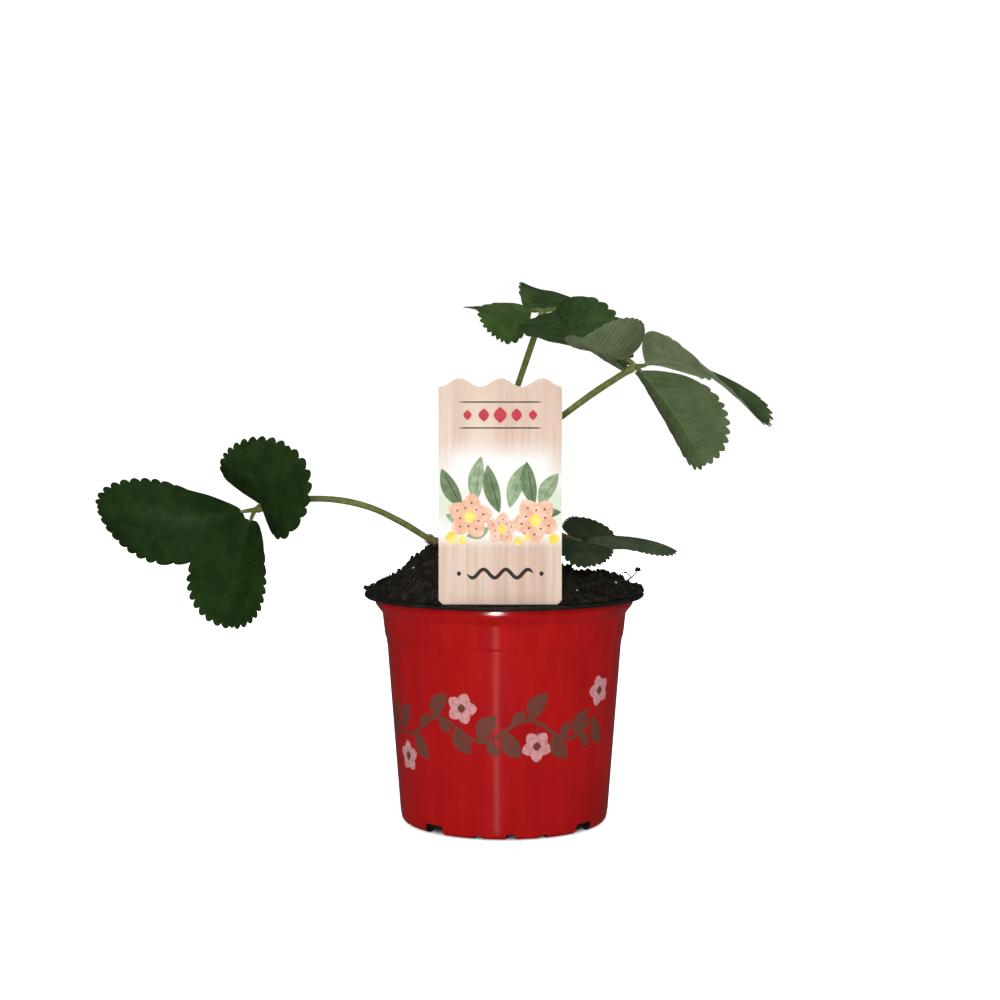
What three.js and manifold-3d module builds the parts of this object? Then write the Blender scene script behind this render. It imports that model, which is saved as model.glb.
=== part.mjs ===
// A young strawberry plant in a 12 cm nursery pot, with a card label on the rim.
// Millimetres, +Z up. The origin is the centre of the pot's foot, on the surface it stands on.
// The front of the pot, where the label stands, faces -Y.
import * as THREE from 'three';
import Module from 'manifold-3d';
import { mergeVertices } from 'three/addons/utils/BufferGeometryUtils.js';

const wasm = await Module();
wasm.setup();

// Driving dimensions
const TURN = Math.PI * 2;
const DEG = Math.PI / 180;
const GAP = 0.35;            // clearance between neighbouring pieces
const ROUND = 40;            // sides of the pot and the soil

const RIM_R = 60;            // a 12 cm pot, measured over the lip
const RIM_TOP = 98.5;
const LIP = 1.7;             // thickness of the lip
const WALL = 0.9;            // thickness of the formed sheet
const FOOT_R = 44.4;
const FOOT_FILLET = 2.7;
const FLOOR = 1.4;
const CHANNEL = { inner: 22, outer: 39, height: 3, slope: 1.5 };   // raised ring under the floor
const NOTCH_TURN = 3.5 * DEG;                                      // how far the notches are turned
const NOTCHES = [
  { step: 45, width: 9.5, height: 4.3 },
  { step: 0, width: 4.3, height: 2.6 },
  { step: 18, width: 3.9, height: 1.7 },
  { step: -18, width: 3.9, height: 1.7 },
];

const HEAP_R = 58.2;         // the peat spills over the lip
const CARD = { left: -26.6, right: 23.2, back: -52.1, thick: 0.8, height: 91.4, chamfer: 1.7 };
const CARD_WAVE = { crests: 3, dip: 3.4, corner: 8, points: 8 };
const STAKE = { width: 9, thick: 0.8, depth: 55, slope: 0.26, point: 8 };

const BLADE = 0.7;           // thickness of a leaf blade
const STALK = { r: 1.35, base: 1.75, sides: 8, steps: 18 };
const PETIOLULE = { r: 1.1, end: 0.65, sides: 6, steps: 3 };
const CROWN = { x: -17, y: 0, bottom: 84, top: 124, r: 7 };

// Colours, as seen in even light
const LOOKS = {
  pot: { color: 0xa81c22, roughness: 0.25, metalness: 0 },
  soil: { color: 0x2a211b, roughness: 1, metalness: 0 },
  label: { color: 0xe9d9cc, roughness: 0.4, metalness: 0 },
  crown: { color: 0x6b5a3a, roughness: 0.8, metalness: 0 },
  stalk: { color: 0x7d8a35, roughness: 0.6, metalness: 0 },
  leaf: { color: 0x2f4a22, roughness: 0.55, metalness: 0 },
};

// Each leaflet runs from its base to its tip. left and right are its half-widths, seen on the upper
// face with the tip away. arch and sweep bow the midrib up and sideways, rise and curl (in degrees)
// lift and bend each half, twist turns the tip, and heel draws a half back past the base. The side
// veins leave the midrib behind the place they end at, by veinLead along the blade and tipLead more
// at its tip.
const LEAFLET = {
  widest: 0.57, basePower: [1.2, 1.2], tipPower: 0.85, teeth: 10, toothDepth: 1.8,
  toothStart: [0.38, 0.38], veinLead: 0.8, tipLead: 0.18, arch: 0, sweep: 0, rise: [0, 0], curl: [0, 0],
  twist: 0, heel: [1, 1],
};

const LEAVES = [
  {
    name: 'a', hub: [-104.5, -18.5, 135],
    route: [[-20, -1, 112], [-23, -1, 118], [-30.5, -2, 120.5], [-43.5, -5, 128.5], [-56.5, -8, 135],
      [-70, -11, 138.5], [-85, -14, 139]],
    leaflets: [
      { name: 'left', base: [-110.5, -17.5, 134], tip: [-171.5, -17, 136], up: [0, -1, 0.15],
        half: [20.5, 17], arch: 8, sweep: -4, rise: [-15, 0], curl: [-5, -50], twist: -60, heel: [3, 1] },
      { name: 'lower', base: [-106, -24, 130.5], tip: [-111.5, -44, 88], up: [-0.05, -0.9, 0.4],
        half: [16.5, 20.3], arch: 1, sweep: 1, rise: [30, 15], curl: [15, -5], twist: -30, heel: [1, 4] },
      { name: 'upper', base: [-101.9, -21.8, 137.6], tip: [-87.2, -48, 163], up: [-0.5, -0.65, -0.55],
        half: [21.6, 22.3], arch: 6, sweep: 1, rise: [15, 20], curl: [0, 5], twist: 15,
        heel: [4.8, 4.5], toothStart: [0.38, 0.17] },
    ],
  },
  {
    name: 'b', hub: [17, 20, 219],
    route: [[-17, 2.5, 115], [-16, 3, 123], [-9, 8, 143], [0, 12, 169], [6, 15, 187], [12, 18, 204.5]],
    leaflets: [
      { name: 'left', base: [12, 17, 219.5], tip: [-12, -17, 219], up: [0.1, -0.3, 1],
        half: [13, 14], arch: -2, sweep: -3, rise: [-50, 12], curl: [-15, -10], twist: 30,
        widest: 0.7, basePower: [2.3, 1.2], tipPower: 0.6, veinLead: 0.3, heel: [0, 0],
        toothStart: [0.3, 0.3] },
      { name: 'far', base: [17, 24, 219.5], tip: [20, 64, 229.5], up: [0, -0.3, 0.95],
        half: [17.5, 17], arch: 2, sweep: 5, rise: [-5, -10], curl: [30, -15], twist: 30,
        widest: 0.6, heel: [3, 1] },
      { name: 'near', base: [22.5, 18, 219.5], tip: [50, -25, 192.5], up: [-0.05, -0.55, 0.85],
        half: [19, 25], arch: 3, sweep: 6, rise: [40, 30], curl: [-5, -15], twist: -60,
        widest: 0.52, tipPower: 0.95, basePower: [2, 1.2], heel: [1, -1.5], toothStart: [0.38, 0.06] },
    ],
  },
  {
    name: 'c', hub: [53, -43.5, 195],
    route: [[-14, -2.5, 115], [-13, -3, 123], [-6, -10, 142], [6, -19, 160.5], [24, -30, 174.6],
      [37, -36, 184.4]],
    leaflets: [
      { name: 'near', base: [49.5, -46, 198], tip: [30, -80, 206], up: [0, 0.35, 0.94],
        half: [20, 14], arch: -2, rise: [24, 30], curl: [12, -20], widest: 0.59,
        toothDepth: 1.3, heel: [0, 1] },
      { name: 'right', base: [57.5, -44.5, 195.6], tip: [104, -77, 173.5], up: [-0.02, -0.42, 0.9],
        half: [13.5, 24], arch: 13.3, sweep: 8.1, rise: [-5, 36], curl: [-65, 22], twist: 57,
        widest: 0.5, basePower: [1.7, 0.8], tipPower: 0.9, veinLead: 0.5, heel: [-3, -8] },
      { name: 'hanging', base: [55.5, -42, 193], tip: [83, -32, 154], up: [0.3, 0.85, 0.45],
        half: [15.5, 19.5], arch: 5, sweep: -1, rise: [25, 5], curl: [40, 10], twist: -20,
        widest: 0.59, basePower: [1.4, 1.4], heel: [2, 0], toothStart: [0.15, 0.38] },
    ],
  },
  {
    name: 'd', hub: [33.5, 19.5, 117.5],
    route: [[-13.5, 2, 114], [-12, 2.5, 121], [-3, 8, 126], [12, 14, 125], [24, 18, 121.5]],
    leaflets: [
      { name: 'far', base: [32.5, 24, 117.5], tip: [34.5, 55, 126.5], up: [0.15, -0.3, 0.95],
        half: [12.5, 13], arch: -2, sweep: 5, rise: [10, -5], twist: 5, teeth: 9, toothDepth: 1.2 },
      { name: 'right', base: [37, 18, 117], tip: [76.5, 28.5, 113], up: [0.1, 0.05, 1],
        half: [10.5, 12], arch: 4, sweep: -5, rise: [10, -20], curl: [-20, -10], widest: 0.6,
        teeth: 9, toothDepth: 1.2 },
      { name: 'near', base: [33.5, 14, 117], tip: [36, -17, 110.5], up: [0.05, -0.2, 1],
        half: [12.5, 13], arch: 5, sweep: 1, rise: [0, 5], curl: [-15, 20], twist: 25,
        teeth: 9, toothDepth: 1.2 },
    ],
  },
];

// Solids and geometry
function solidOf(vertProperties, triangles) {
  const triVerts = new Uint32Array(triangles);
  return new wasm.Manifold(new wasm.Mesh({ numProp: 3, vertProperties, triVerts }));
}

function toSolid(geometry) {
  const bare = geometry.clone();
  bare.deleteAttribute('normal');
  bare.deleteAttribute('uv');
  const merged = mergeVertices(bare, 1e-4);
  const index = merged.index.array;
  const kept = [];
  for (let i = 0; i < index.length; i += 3) {
    const [a, b, c] = [index[i], index[i + 1], index[i + 2]];
    if (a !== b && b !== c && c !== a) kept.push(a, b, c);
  }
  const corners = new Float32Array(merged.attributes.position.array);
  const solid = solidOf(corners, kept);
  return solid.volume() > 0 ? solid : solidOf(corners, kept.reverse());
}

function toGeometry(solid) {
  const mesh = solid.getMesh();
  const geometry = new THREE.BufferGeometry();
  geometry.setAttribute('position', new THREE.BufferAttribute(new Float32Array(mesh.vertProperties), 3));
  geometry.setIndex(Array.from(mesh.triVerts));
  geometry.computeVertexNormals();
  return geometry;
}

function indexed(points, triangles) {
  const geometry = new THREE.BufferGeometry().setFromPoints(points);
  geometry.setIndex(triangles);
  return geometry;
}

// A closed skin through rings of equal count, capped by a point at each end
function skin(first, rings, last) {
  const count = rings[0].length;
  const points = [first, ...rings.flat(), last];
  const end = points.length - 1;
  const triangles = [];
  for (let i = 0; i < count; i += 1) {
    const next = (i + 1) % count;
    triangles.push(0, 1 + next, 1 + i);
    for (let ring = 0; ring + 1 < rings.length; ring += 1) {
      const low = 1 + ring * count;
      const high = low + count;
      triangles.push(low + i, low + next, high + next, low + i, high + next, high + i);
    }
    triangles.push(end - count + i, end - count + next, end);
  }
  return toSolid(indexed(points, triangles));
}

function tube(curve, steps, sides, radiusAt) {
  const frames = curve.computeFrenetFrames(steps, false);
  const rings = [];
  for (let i = 0; i <= steps; i += 1) {
    const centre = curve.getPointAt(i / steps);
    const ring = [];
    for (let k = 0; k < sides; k += 1) {
      const turn = (k / sides) * TURN;
      const across = frames.normals[i].clone().multiplyScalar(Math.cos(turn) * radiusAt(i / steps));
      across.addScaledVector(frames.binormals[i], Math.sin(turn) * radiusAt(i / steps));
      ring.push(centre.clone().add(across));
    }
    rings.push(ring);
  }
  return skin(curve.getPointAt(0), rings, curve.getPointAt(1));
}

function block(width, depth, height, place) {
  const geometry = new THREE.BoxGeometry(width, depth, height);
  geometry.applyMatrix4(place);
  return toSolid(geometry);
}

// What is left of a body after the cuts, without loose scraps
function carve(body, cuts) {
  const rest = cuts.reduce((left, cut) => left.subtract(cut), body);
  return rest.decompose().sort((a, b) => b.volume() - a.volume())[0];
}

// Gentle unevenness between -1 and 1
function rough(x, y, scale) {
  const u = x / scale;
  const v = y / scale;
  const waves = [1.7 * u + 0.9 * v, 2.9 * v - 1.3 * u + 1.1, 4.3 * u + 3.1 * v + 2.4];
  return waves.reduce((sum, wave) => sum + Math.sin(wave), 0) / waves.length;
}

function between(stops, x) {
  const last = stops.length - 1;
  if (x <= stops[0][0]) return stops[0][1];
  if (x >= stops[last][0]) return stops[last][1];
  const i = stops.findIndex((stop) => stop[0] > x);
  const [x0, y0] = stops[i - 1];
  const [x1, y1] = stops[i];
  return y0 + ((y1 - y0) * (x - x0)) / (x1 - x0);
}

// Pot: the wall tapers down from the collar, with a step and a soft shoulder under the lip
const WALL_OUTSIDE = [
  [FOOT_R + 0.4, 5], [50.2, 76], [51.4, 82], [52.3, 90], [53.5, 91.5], [54.5, 95],
];

function potOutline() {
  const foot = [];
  for (const angle of [-90, -50, -10]) {
    foot.push([
      FOOT_R - FOOT_FILLET + FOOT_FILLET * Math.cos(angle * DEG),
      FOOT_FILLET + FOOT_FILLET * Math.sin(angle * DEG),
    ]);
  }
  const { inner, outer, height, slope } = CHANNEL;
  const under = [[0, 0], [inner, 0], [inner + slope, height], [outer, height], [outer + slope, 0]];
  const lipBottom = RIM_TOP - LIP;
  const lip = [
    [RIM_R - 4.6, lipBottom], [RIM_R - 0.5, lipBottom], [RIM_R, lipBottom + 0.5],
    [RIM_R, RIM_TOP - 0.5], [RIM_R - 0.5, RIM_TOP], [RIM_R - 5.6, RIM_TOP],
  ];
  const inside = WALL_OUTSIDE.map(([r, z]) => [r - WALL, z]).reverse();
  const floor = [
    [FOOT_R - WALL - 1.2, FLOOR], [outer + slope - 0.6, FLOOR], [outer - 0.6, height + FLOOR],
    [inner + slope + 0.6, height + FLOOR], [inner + 0.6, FLOOR], [0, FLOOR],
  ];
  return [...under, ...foot, ...WALL_OUTSIDE, ...lip, ...inside, ...floor];
}

function pot() {
  const outline = potOutline().map(([r, z]) => new THREE.Vector2(r, z));
  const lathe = new THREE.LatheGeometry(outline, ROUND);
  lathe.rotateX(Math.PI / 2);
  let body = toSolid(lathe);
  const reach = FOOT_R - CHANNEL.outer + 4;
  for (const { step, width, height } of NOTCHES) {
    for (let quarter = 0; quarter < 4; quarter += 1) {
      const turn = NOTCH_TURN + (step + 90 * quarter) * DEG;
      const place = new THREE.Matrix4().makeRotationZ(turn);
      place.multiply(new THREE.Matrix4().makeTranslation(0, 1.5 - FOOT_R, height / 2 - 1));
      body = body.subtract(block(width, reach, height + 2, place));
    }
  }
  return body;
}

// Height of the heaped peat along its ridge, from left to right
const RIDGE = [
  [-58, 99.4], [-53, 102.6], [-45, 106.8], [-42, 109.6], [-34, 116.8], [-27, 119.6], [-17, 120.5],
  [0, 114], [24, 108.8], [34, 104.8], [43, 106.4], [51, 103.6], [58, 99.6],
];

function heapHeight(x, y) {
  const low = RIM_TOP + 0.8;
  const span = Math.sqrt(Math.max(HEAP_R ** 2 - x ** 2, 1));
  const fall = Math.max(1 - (y / span) ** 2, 0) ** 0.65;
  const inner = 1 - (x * x + y * y) / HEAP_R ** 2;
  return low + (between(RIDGE, x) - low) * fall + 0.9 * rough(x, y, 4.5) * Math.min(inner * 4, 1);
}

function soil(cuts) {
  const level = (r, z) => {
    const ring = [];
    for (let k = 0; k < ROUND; k += 1) {
      const turn = (k / ROUND) * TURN;
      ring.push(new THREE.Vector3(r * Math.sin(turn), -r * Math.cos(turn), z));
    }
    return ring;
  };
  const heapRing = (r) => level(r, 0).map((point) => point.setZ(heapHeight(point.x, point.y)));
  const { outer, height, slope } = CHANNEL;
  const bottom = [
    level(outer - 0.2, height + FLOOR + GAP), level(outer + slope - 0.2, FLOOR + GAP),
    level(FOOT_R - WALL - 1.7, FLOOR + GAP),
  ];
  const side = WALL_OUTSIDE.map(([r, z]) => level(r - WALL - GAP, z));
  const spill = [level(RIM_R - 6.3, RIM_TOP + GAP), level(HEAP_R, RIM_TOP + GAP)];
  const heap = [HEAP_R - 0.8, 53, 46, 38, 30, 22, 13].map(heapRing);
  const start = new THREE.Vector3(0, 0, height + FLOOR + GAP);
  const peak = new THREE.Vector3(0, 0, heapHeight(0, 0));
  const body = skin(start, [...bottom, ...side, ...spill, ...heap], peak);
  return carve(body, cuts);
}

// Label: a card with a waved top that stands on the lip, and a stake bent back into the peat
function cardShape(low) {
  const { left, right, height, chamfer } = CARD;
  const { crests, dip, corner, points } = CARD_WAVE;
  const top = low + height;
  const shape = new THREE.Shape();
  shape.moveTo(left + chamfer, low);
  shape.lineTo(right - chamfer, low);
  shape.lineTo(right, low + chamfer);
  shape.lineTo(right, top - dip);
  const pitch = (right - left) / crests;
  const waves = points * crests;
  for (let i = 1; i < waves; i += 1) {
    const x = right - (i * pitch) / points;
    const wave = 0.5 + 0.5 * Math.cos(((right - corner - x) / pitch) * TURN);
    shape.lineTo(x, top - dip * (1 - wave));
  }
  shape.lineTo(left, top - dip);
  shape.lineTo(left, low + chamfer);
  shape.closePath();
  return shape;
}

function stake(spare) {
  const { width, thick, depth, slope, point } = STAKE;
  const middle = (CARD.left + CARD.right) / 2;
  const half = width / 2 + spare;
  const top = RIM_TOP + GAP + 2;
  const low = RIM_TOP - depth - spare;
  const shape = new THREE.Shape();
  shape.moveTo(middle - half, top);
  shape.lineTo(middle - half, low + point);
  shape.lineTo(middle, low);
  shape.lineTo(middle + half, low + point);
  shape.lineTo(middle + half, top);
  shape.closePath();
  const sheet = new THREE.ExtrudeGeometry(shape, { depth: thick + 2 * spare, bevelEnabled: false });
  sheet.rotateX(Math.PI / 2);
  const place = sheet.attributes.position;
  for (let i = 0; i < place.count; i += 1) {
    const lean = Math.max(RIM_TOP + GAP - place.getZ(i), 0) * slope;
    place.setY(i, place.getY(i) + CARD.back + spare + lean);
  }
  return toSolid(sheet);
}

function label() {
  const low = RIM_TOP + GAP;
  const card = new THREE.ExtrudeGeometry(cardShape(low), { depth: CARD.thick, bevelEnabled: false });
  card.rotateX(Math.PI / 2);
  card.translate(0, CARD.back, 0);
  return toSolid(card).add(stake(0));
}

// Leaflets
const vector = (list) => new THREE.Vector3(...list);

function midribFrame(leaf, along) {
  const { base, chord, up, side, arch, sweep, twist } = leaf;
  const bow = 4 * along * (1 - along);
  const slope = 4 - 8 * along;
  const point = base.clone().addScaledVector(chord, along);
  point.addScaledVector(up, arch * bow).addScaledVector(side, sweep * bow);
  const ahead = chord.clone().addScaledVector(up, arch * slope).addScaledVector(side, sweep * slope);
  ahead.normalize();
  const flatUp = up.clone().addScaledVector(ahead, -up.dot(ahead)).normalize();
  const flatSide = new THREE.Vector3().crossVectors(ahead, flatUp);
  const turn = twist * DEG * (along - 0.5);
  const normal = flatUp.clone().multiplyScalar(Math.cos(turn)).addScaledVector(flatSide, Math.sin(turn));
  const across = flatSide.multiplyScalar(Math.cos(turn)).addScaledVector(flatUp, -Math.sin(turn));
  return { point, ahead, normal, across };
}

// Outline of one half: s runs from base to tip, along is a fraction of the length, out is in mm
function marginPoint(leaf, s, half) {
  const angle = Math.PI * (s - 0.5);
  const short = angle < 0;
  const { widest, basePower, tipPower, heel, length } = leaf;
  const reach = short ? widest : 1 - widest;
  const along = widest + reach * Math.sin(angle);
  const out = leaf.half[half] * Math.max(Math.cos(angle), 0) ** (short ? basePower[half] : tipPower);
  const back = short ? (heel[half] / length) * Math.sin(-2 * angle) : 0;
  return { along: along - back, out, plain: along };
}

// The margin with its teeth: push is the height of the outline above its mean line
function toothedPoint(leaf, s, half, push) {
  const { along, out, plain } = marginPoint(leaf, s, half);
  const before = marginPoint(leaf, Math.max(s - 1e-3, 0), half);
  const after = marginPoint(leaf, Math.min(s + 1e-3, 1), half);
  const run = (after.along - before.along) * leaf.length;
  const climb = after.out - before.out;
  const size = Math.hypot(run, climb) || 1;
  const shift = push * leaf.toothDepth;
  return {
    plain,
    along: along + ((0.25 * run - climb) / size) * (shift / leaf.length),
    out: Math.max(out + (run / size) * shift, 0),
  };
}

// Where the side veins that end at two margin points leave the midrib
function veinStart(leaf, left, right) {
  const plain = (left.plain + right.plain) / 2;
  return plain - leaf.veinLead * plain * (1 - plain) - leaf.tipLead * plain ** 4;
}

function bladePoint(leaf, margin, half, start, row) {
  const frame = midribFrame(leaf, start + (margin.along - start) * row);
  const reach = margin.out * row;
  const rise = leaf.rise[half] * DEG;
  const bend = (leaf.curl[half] * DEG) / leaf.half[half];
  const flat = Math.abs(bend) < 1e-6;
  const out = flat ? reach * Math.cos(rise) : (Math.sin(rise + bend * reach) - Math.sin(rise)) / bend;
  const lift = flat ? reach * Math.sin(rise) : (Math.cos(rise) - Math.cos(rise + bend * reach)) / bend;
  const sign = half === 0 ? -1 : 1;
  return frame.point.addScaledVector(frame.across, sign * out).addScaledVector(frame.normal, lift);
}

// Where a half's margin is sampled from base to tip: the smooth part, then a notch and a crest per
// tooth. The first teeth are lower than the rest.
const SMOOTH_PARTS = [0.21, 0.47, 0.74];
const TOOTH = { crestAt: 0.58, notch: -0.65, crest: 0.35, firstSize: 0.4, growth: 0.3 };

function stations(leaf, half) {
  const first = leaf.toothStart[half];
  const pitch = (1 - first) / leaf.teeth;
  const list = SMOOTH_PARTS.map((part) => ({ s: part * first, push: 0 }));
  for (let i = 0; i < leaf.teeth; i += 1) {
    const size = Math.min(TOOTH.firstSize + TOOTH.growth * i, 1);
    list.push({ s: first + i * pitch, push: TOOTH.notch * size });
    list.push({ s: first + (i + TOOTH.crestAt) * pitch, push: TOOTH.crest * size });
  }
  return list;
}

function prepare(spec) {
  const leaf = { ...LEAFLET, ...spec };
  leaf.base = vector(leaf.base);
  leaf.chord = vector(spec.tip).sub(leaf.base);
  leaf.length = leaf.chord.length();
  const ahead = leaf.chord.clone().normalize();
  leaf.up = vector(spec.up).addScaledVector(ahead, -vector(spec.up).dot(ahead)).normalize();
  leaf.side = new THREE.Vector3().crossVectors(ahead, leaf.up);
  return leaf;
}

function leaflet(spec) {
  const leaf = prepare(spec);
  const rows = [0.5, 1];
  const [lefts, rights] = [0, 1].map((half) => (
    stations(leaf, half).map(({ s, push }) => toothedPoint(leaf, s, half, push))
  ));
  const columns = lefts.map((left, i) => {
    const right = rights[i];
    const start = veinStart(leaf, left, right);
    return [
      ...rows.map((row) => bladePoint(leaf, left, 0, start, row)).reverse(),
      midribFrame(leaf, start).point,
      ...rows.map((row) => bladePoint(leaf, right, 1, start, row)),
    ];
  });
  return thicken(midribFrame(leaf, 0).point, columns, midribFrame(leaf, 1).point);
}

// A sheet through columns of points, given its thickness, with both faces split alike
function thicken(base, columns, tip) {
  const wide = columns[0].length;
  const points = [base, ...columns.flat(), tip];
  const end = points.length - 1;
  const at = (column, k) => 1 + column * wide + k;
  const faces = [];
  const last = columns.length - 1;
  for (let k = 0; k + 1 < wide; k += 1) {
    faces.push([0, at(0, k), at(0, k + 1)]);
    for (let c = 0; c < last; c += 1) {
      faces.push([at(c, k), at(c + 1, k), at(c + 1, k + 1)], [at(c, k), at(c + 1, k + 1), at(c, k + 1)]);
    }
    faces.push([at(last, k), end, at(last, k + 1)]);
  }
  const sheet = indexed(points, faces.flat());
  sheet.computeVertexNormals();
  const normals = sheet.attributes.normal;
  const offset = (sign) => points.map((point, i) => {
    const normal = new THREE.Vector3().fromBufferAttribute(normals, i);
    return point.clone().addScaledVector(normal, (sign * BLADE) / 2);
  });
  const count = points.length;
  const border = [0];
  for (let c = 0; c <= last; c += 1) border.push(at(c, 0));
  border.push(end);
  for (let c = last; c >= 0; c -= 1) border.push(at(c, wide - 1));
  const triangles = [];
  for (const [a, b, c] of faces) triangles.push(a, b, c, count + a, count + c, count + b);
  border.forEach((from, i) => {
    const to = border[(i + 1) % border.length];
    triangles.push(from, count + from, count + to, from, count + to, to);
  });
  return toSolid(indexed([...offset(1), ...offset(-1)], triangles));
}

// Stalks: a long petiole that ends at the hub, and a short petiolule to each leaflet
function petiole(leaf, spare) {
  const curve = new THREE.CatmullRomCurve3([...leaf.route, leaf.hub].map(vector));
  const radiusAt = (t) => spare + STALK.r + (STALK.base - STALK.r) * Math.max(1 - 5 * t, 0);
  return tube(curve, STALK.steps, STALK.sides, radiusAt);
}

function stalk(leaf) {
  const hub = vector(leaf.hub);
  let body = petiole(leaf, 0);
  const knot = new THREE.IcosahedronGeometry(STALK.r * 1.35, 1);
  knot.translate(hub.x, hub.y, hub.z);
  body = body.add(toSolid(knot));
  for (const part of leaf.leaflets) {
    const ready = prepare(part);
    const { point, ahead } = midribFrame(ready, 0);
    const end = point.clone().addScaledVector(ahead, -GAP);
    const elbow = point.clone().addScaledVector(ahead, -0.5 * point.distanceTo(hub));
    const curve = new THREE.QuadraticBezierCurve3(hub, elbow, end);
    const radiusAt = (t) => PETIOLULE.r + (PETIOLULE.end - PETIOLULE.r) * t;
    body = body.add(tube(curve, PETIOLULE.steps, PETIOLULE.sides, radiusAt));
  }
  return body;
}

// Crown: the short rhizome, lobed by the sheaths at the foot of each stalk
function crown(cuts) {
  const { x, y, bottom, top, r } = CROWN;
  const swell = [[0, 0.35], [0.15, 0.6], [0.4, 0.8], [0.7, 1], [0.9, 0.85], [1, 0.45]];
  const sides = 16;
  const rings = swell.map(([rise, size]) => {
    const ring = [];
    for (let k = 0; k < sides; k += 1) {
      const turn = (k / sides) * TURN;
      const radius = r * size * (1 + 0.1 * Math.cos(5 * turn + 2 * rise));
      ring.push(new THREE.Vector3(x + radius * Math.cos(turn), y + radius * Math.sin(turn),
        bottom + (top - bottom) * rise));
    }
    return ring;
  });
  const body = skin(new THREE.Vector3(x, y, bottom - 1), rings, new THREE.Vector3(x, y, top + 1));
  return carve(body, cuts);
}

function crownHole() {
  const { x, y, bottom, top, r } = CROWN;
  const height = top + 10 - bottom;
  const geometry = new THREE.CylinderGeometry(r * 1.1 + GAP, r * 1.1 + GAP, height, 20);
  geometry.rotateX(Math.PI / 2);
  geometry.translate(x, y, bottom - 2 + height / 2);
  return toSolid(geometry);
}

// The card stands clear of the peat, and its stake runs in a slot
function labelCuts() {
  const width = CARD.right - CARD.left + 2 * GAP;
  const depth = 20;
  const middle = (CARD.left + CARD.right) / 2;
  const behind = CARD.back + GAP;
  const clear = new THREE.Matrix4().makeTranslation(middle, behind - depth / 2, RIM_TOP + 15);
  const mouth = new THREE.Matrix4().makeTranslation(middle, behind - depth / 2, RIM_TOP - 2);
  const stakeWidth = STAKE.width + 2 * GAP;
  return [block(width, depth, 30, clear), block(stakeWidth, depth, 10, mouth), stake(GAP)];
}

// The whole plant
const group = new THREE.Group();

function addPiece(name, solid, look) {
  const mesh = new THREE.Mesh(toGeometry(solid), new THREE.MeshStandardMaterial(look));
  mesh.name = name;
  group.add(mesh);
}

const sockets = LEAVES.map((leaf) => petiole(leaf, GAP));
addPiece('pot', pot(), LOOKS.pot);
addPiece('soil', soil([crownHole(), ...labelCuts(), ...sockets]), LOOKS.soil);
addPiece('crown', crown(sockets), LOOKS.crown);
addPiece('label', label(), LOOKS.label);
for (const leaf of LEAVES) {
  addPiece(`stalk_${leaf.name}`, stalk(leaf), LOOKS.stalk);
  for (const part of leaf.leaflets) addPiece(`leaf_${leaf.name}_${part.name}`, leaflet(part), LOOKS.leaf);
}

export default group;
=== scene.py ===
# A young strawberry plant in a 12 cm nursery pot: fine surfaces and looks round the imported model.
# Shapes are worked out in millimetres and scaled to metres as each mesh is made.
import math

import bmesh
import bpy
import numpy as np
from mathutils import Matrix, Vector, noise


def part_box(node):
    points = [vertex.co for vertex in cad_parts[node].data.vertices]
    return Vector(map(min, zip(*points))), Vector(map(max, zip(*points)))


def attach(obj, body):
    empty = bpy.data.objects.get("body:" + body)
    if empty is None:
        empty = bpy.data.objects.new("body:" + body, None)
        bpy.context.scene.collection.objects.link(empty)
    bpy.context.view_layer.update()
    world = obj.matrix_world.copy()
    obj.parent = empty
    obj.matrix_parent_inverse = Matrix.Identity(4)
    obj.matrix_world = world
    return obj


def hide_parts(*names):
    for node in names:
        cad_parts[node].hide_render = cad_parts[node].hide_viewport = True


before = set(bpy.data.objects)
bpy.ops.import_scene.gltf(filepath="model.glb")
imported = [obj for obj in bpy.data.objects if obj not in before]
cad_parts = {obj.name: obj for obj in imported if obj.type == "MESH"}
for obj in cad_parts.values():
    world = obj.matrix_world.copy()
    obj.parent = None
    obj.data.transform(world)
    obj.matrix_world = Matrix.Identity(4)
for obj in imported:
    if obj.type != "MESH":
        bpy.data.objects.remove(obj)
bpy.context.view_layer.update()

MM = 0.001
TURN = 2 * math.pi
SEED = 20

# Driving dimensions, as in the solids
GAP = 0.35
RIM_R = 60
RIM_TOP = 98.5
LIP = 1.7
WALL = 0.9
FOOT_R = 44.4
FOOT_FILLET = 2.7
FLOOR = 1.4
CHANNEL = {"inner": 22, "outer": 39, "height": 3, "slope": 1.5}
NOTCH_TURN = 3.5
NOTCHES = [(45, 9.5, 4.3), (0, 4.3, 2.6), (18, 3.9, 1.7), (-18, 3.9, 1.7)]  # turn, width, height
WALL_OUTSIDE = [(FOOT_R + 0.4, 5), (50.2, 76), (51.4, 82), (52.3, 90), (53.5, 91.5), (54.5, 95)]
HEAP_R = 58.2
RIDGE = [
    (-58, 99.4), (-53, 102.6), (-45, 106.8), (-42, 109.6), (-34, 116.8), (-27, 119.6), (-17, 120.5),
    (0, 114), (24, 108.8), (34, 104.8), (43, 106.4), (51, 103.6), (58, 99.6),
]
CARD = {"left": -26.6, "right": 23.2, "back": -52.1, "thick": 0.8, "height": 91.4, "chamfer": 1.7}
CARD_MIDDLE = (CARD["left"] + CARD["right"]) / 2
CARD_WAVE = {"crests": 3, "dip": 3.4, "corner": 8}
STAKE = {"width": 9, "depth": 55, "slope": 0.26, "point": 8}
STALK = {"r": 1.35, "base": 1.75}
PETIOLULE = {"r": 1.1, "end": 0.65}
CROWN = {"x": -17, "y": 0, "bottom": 84, "top": 124, "r": 7}

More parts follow.
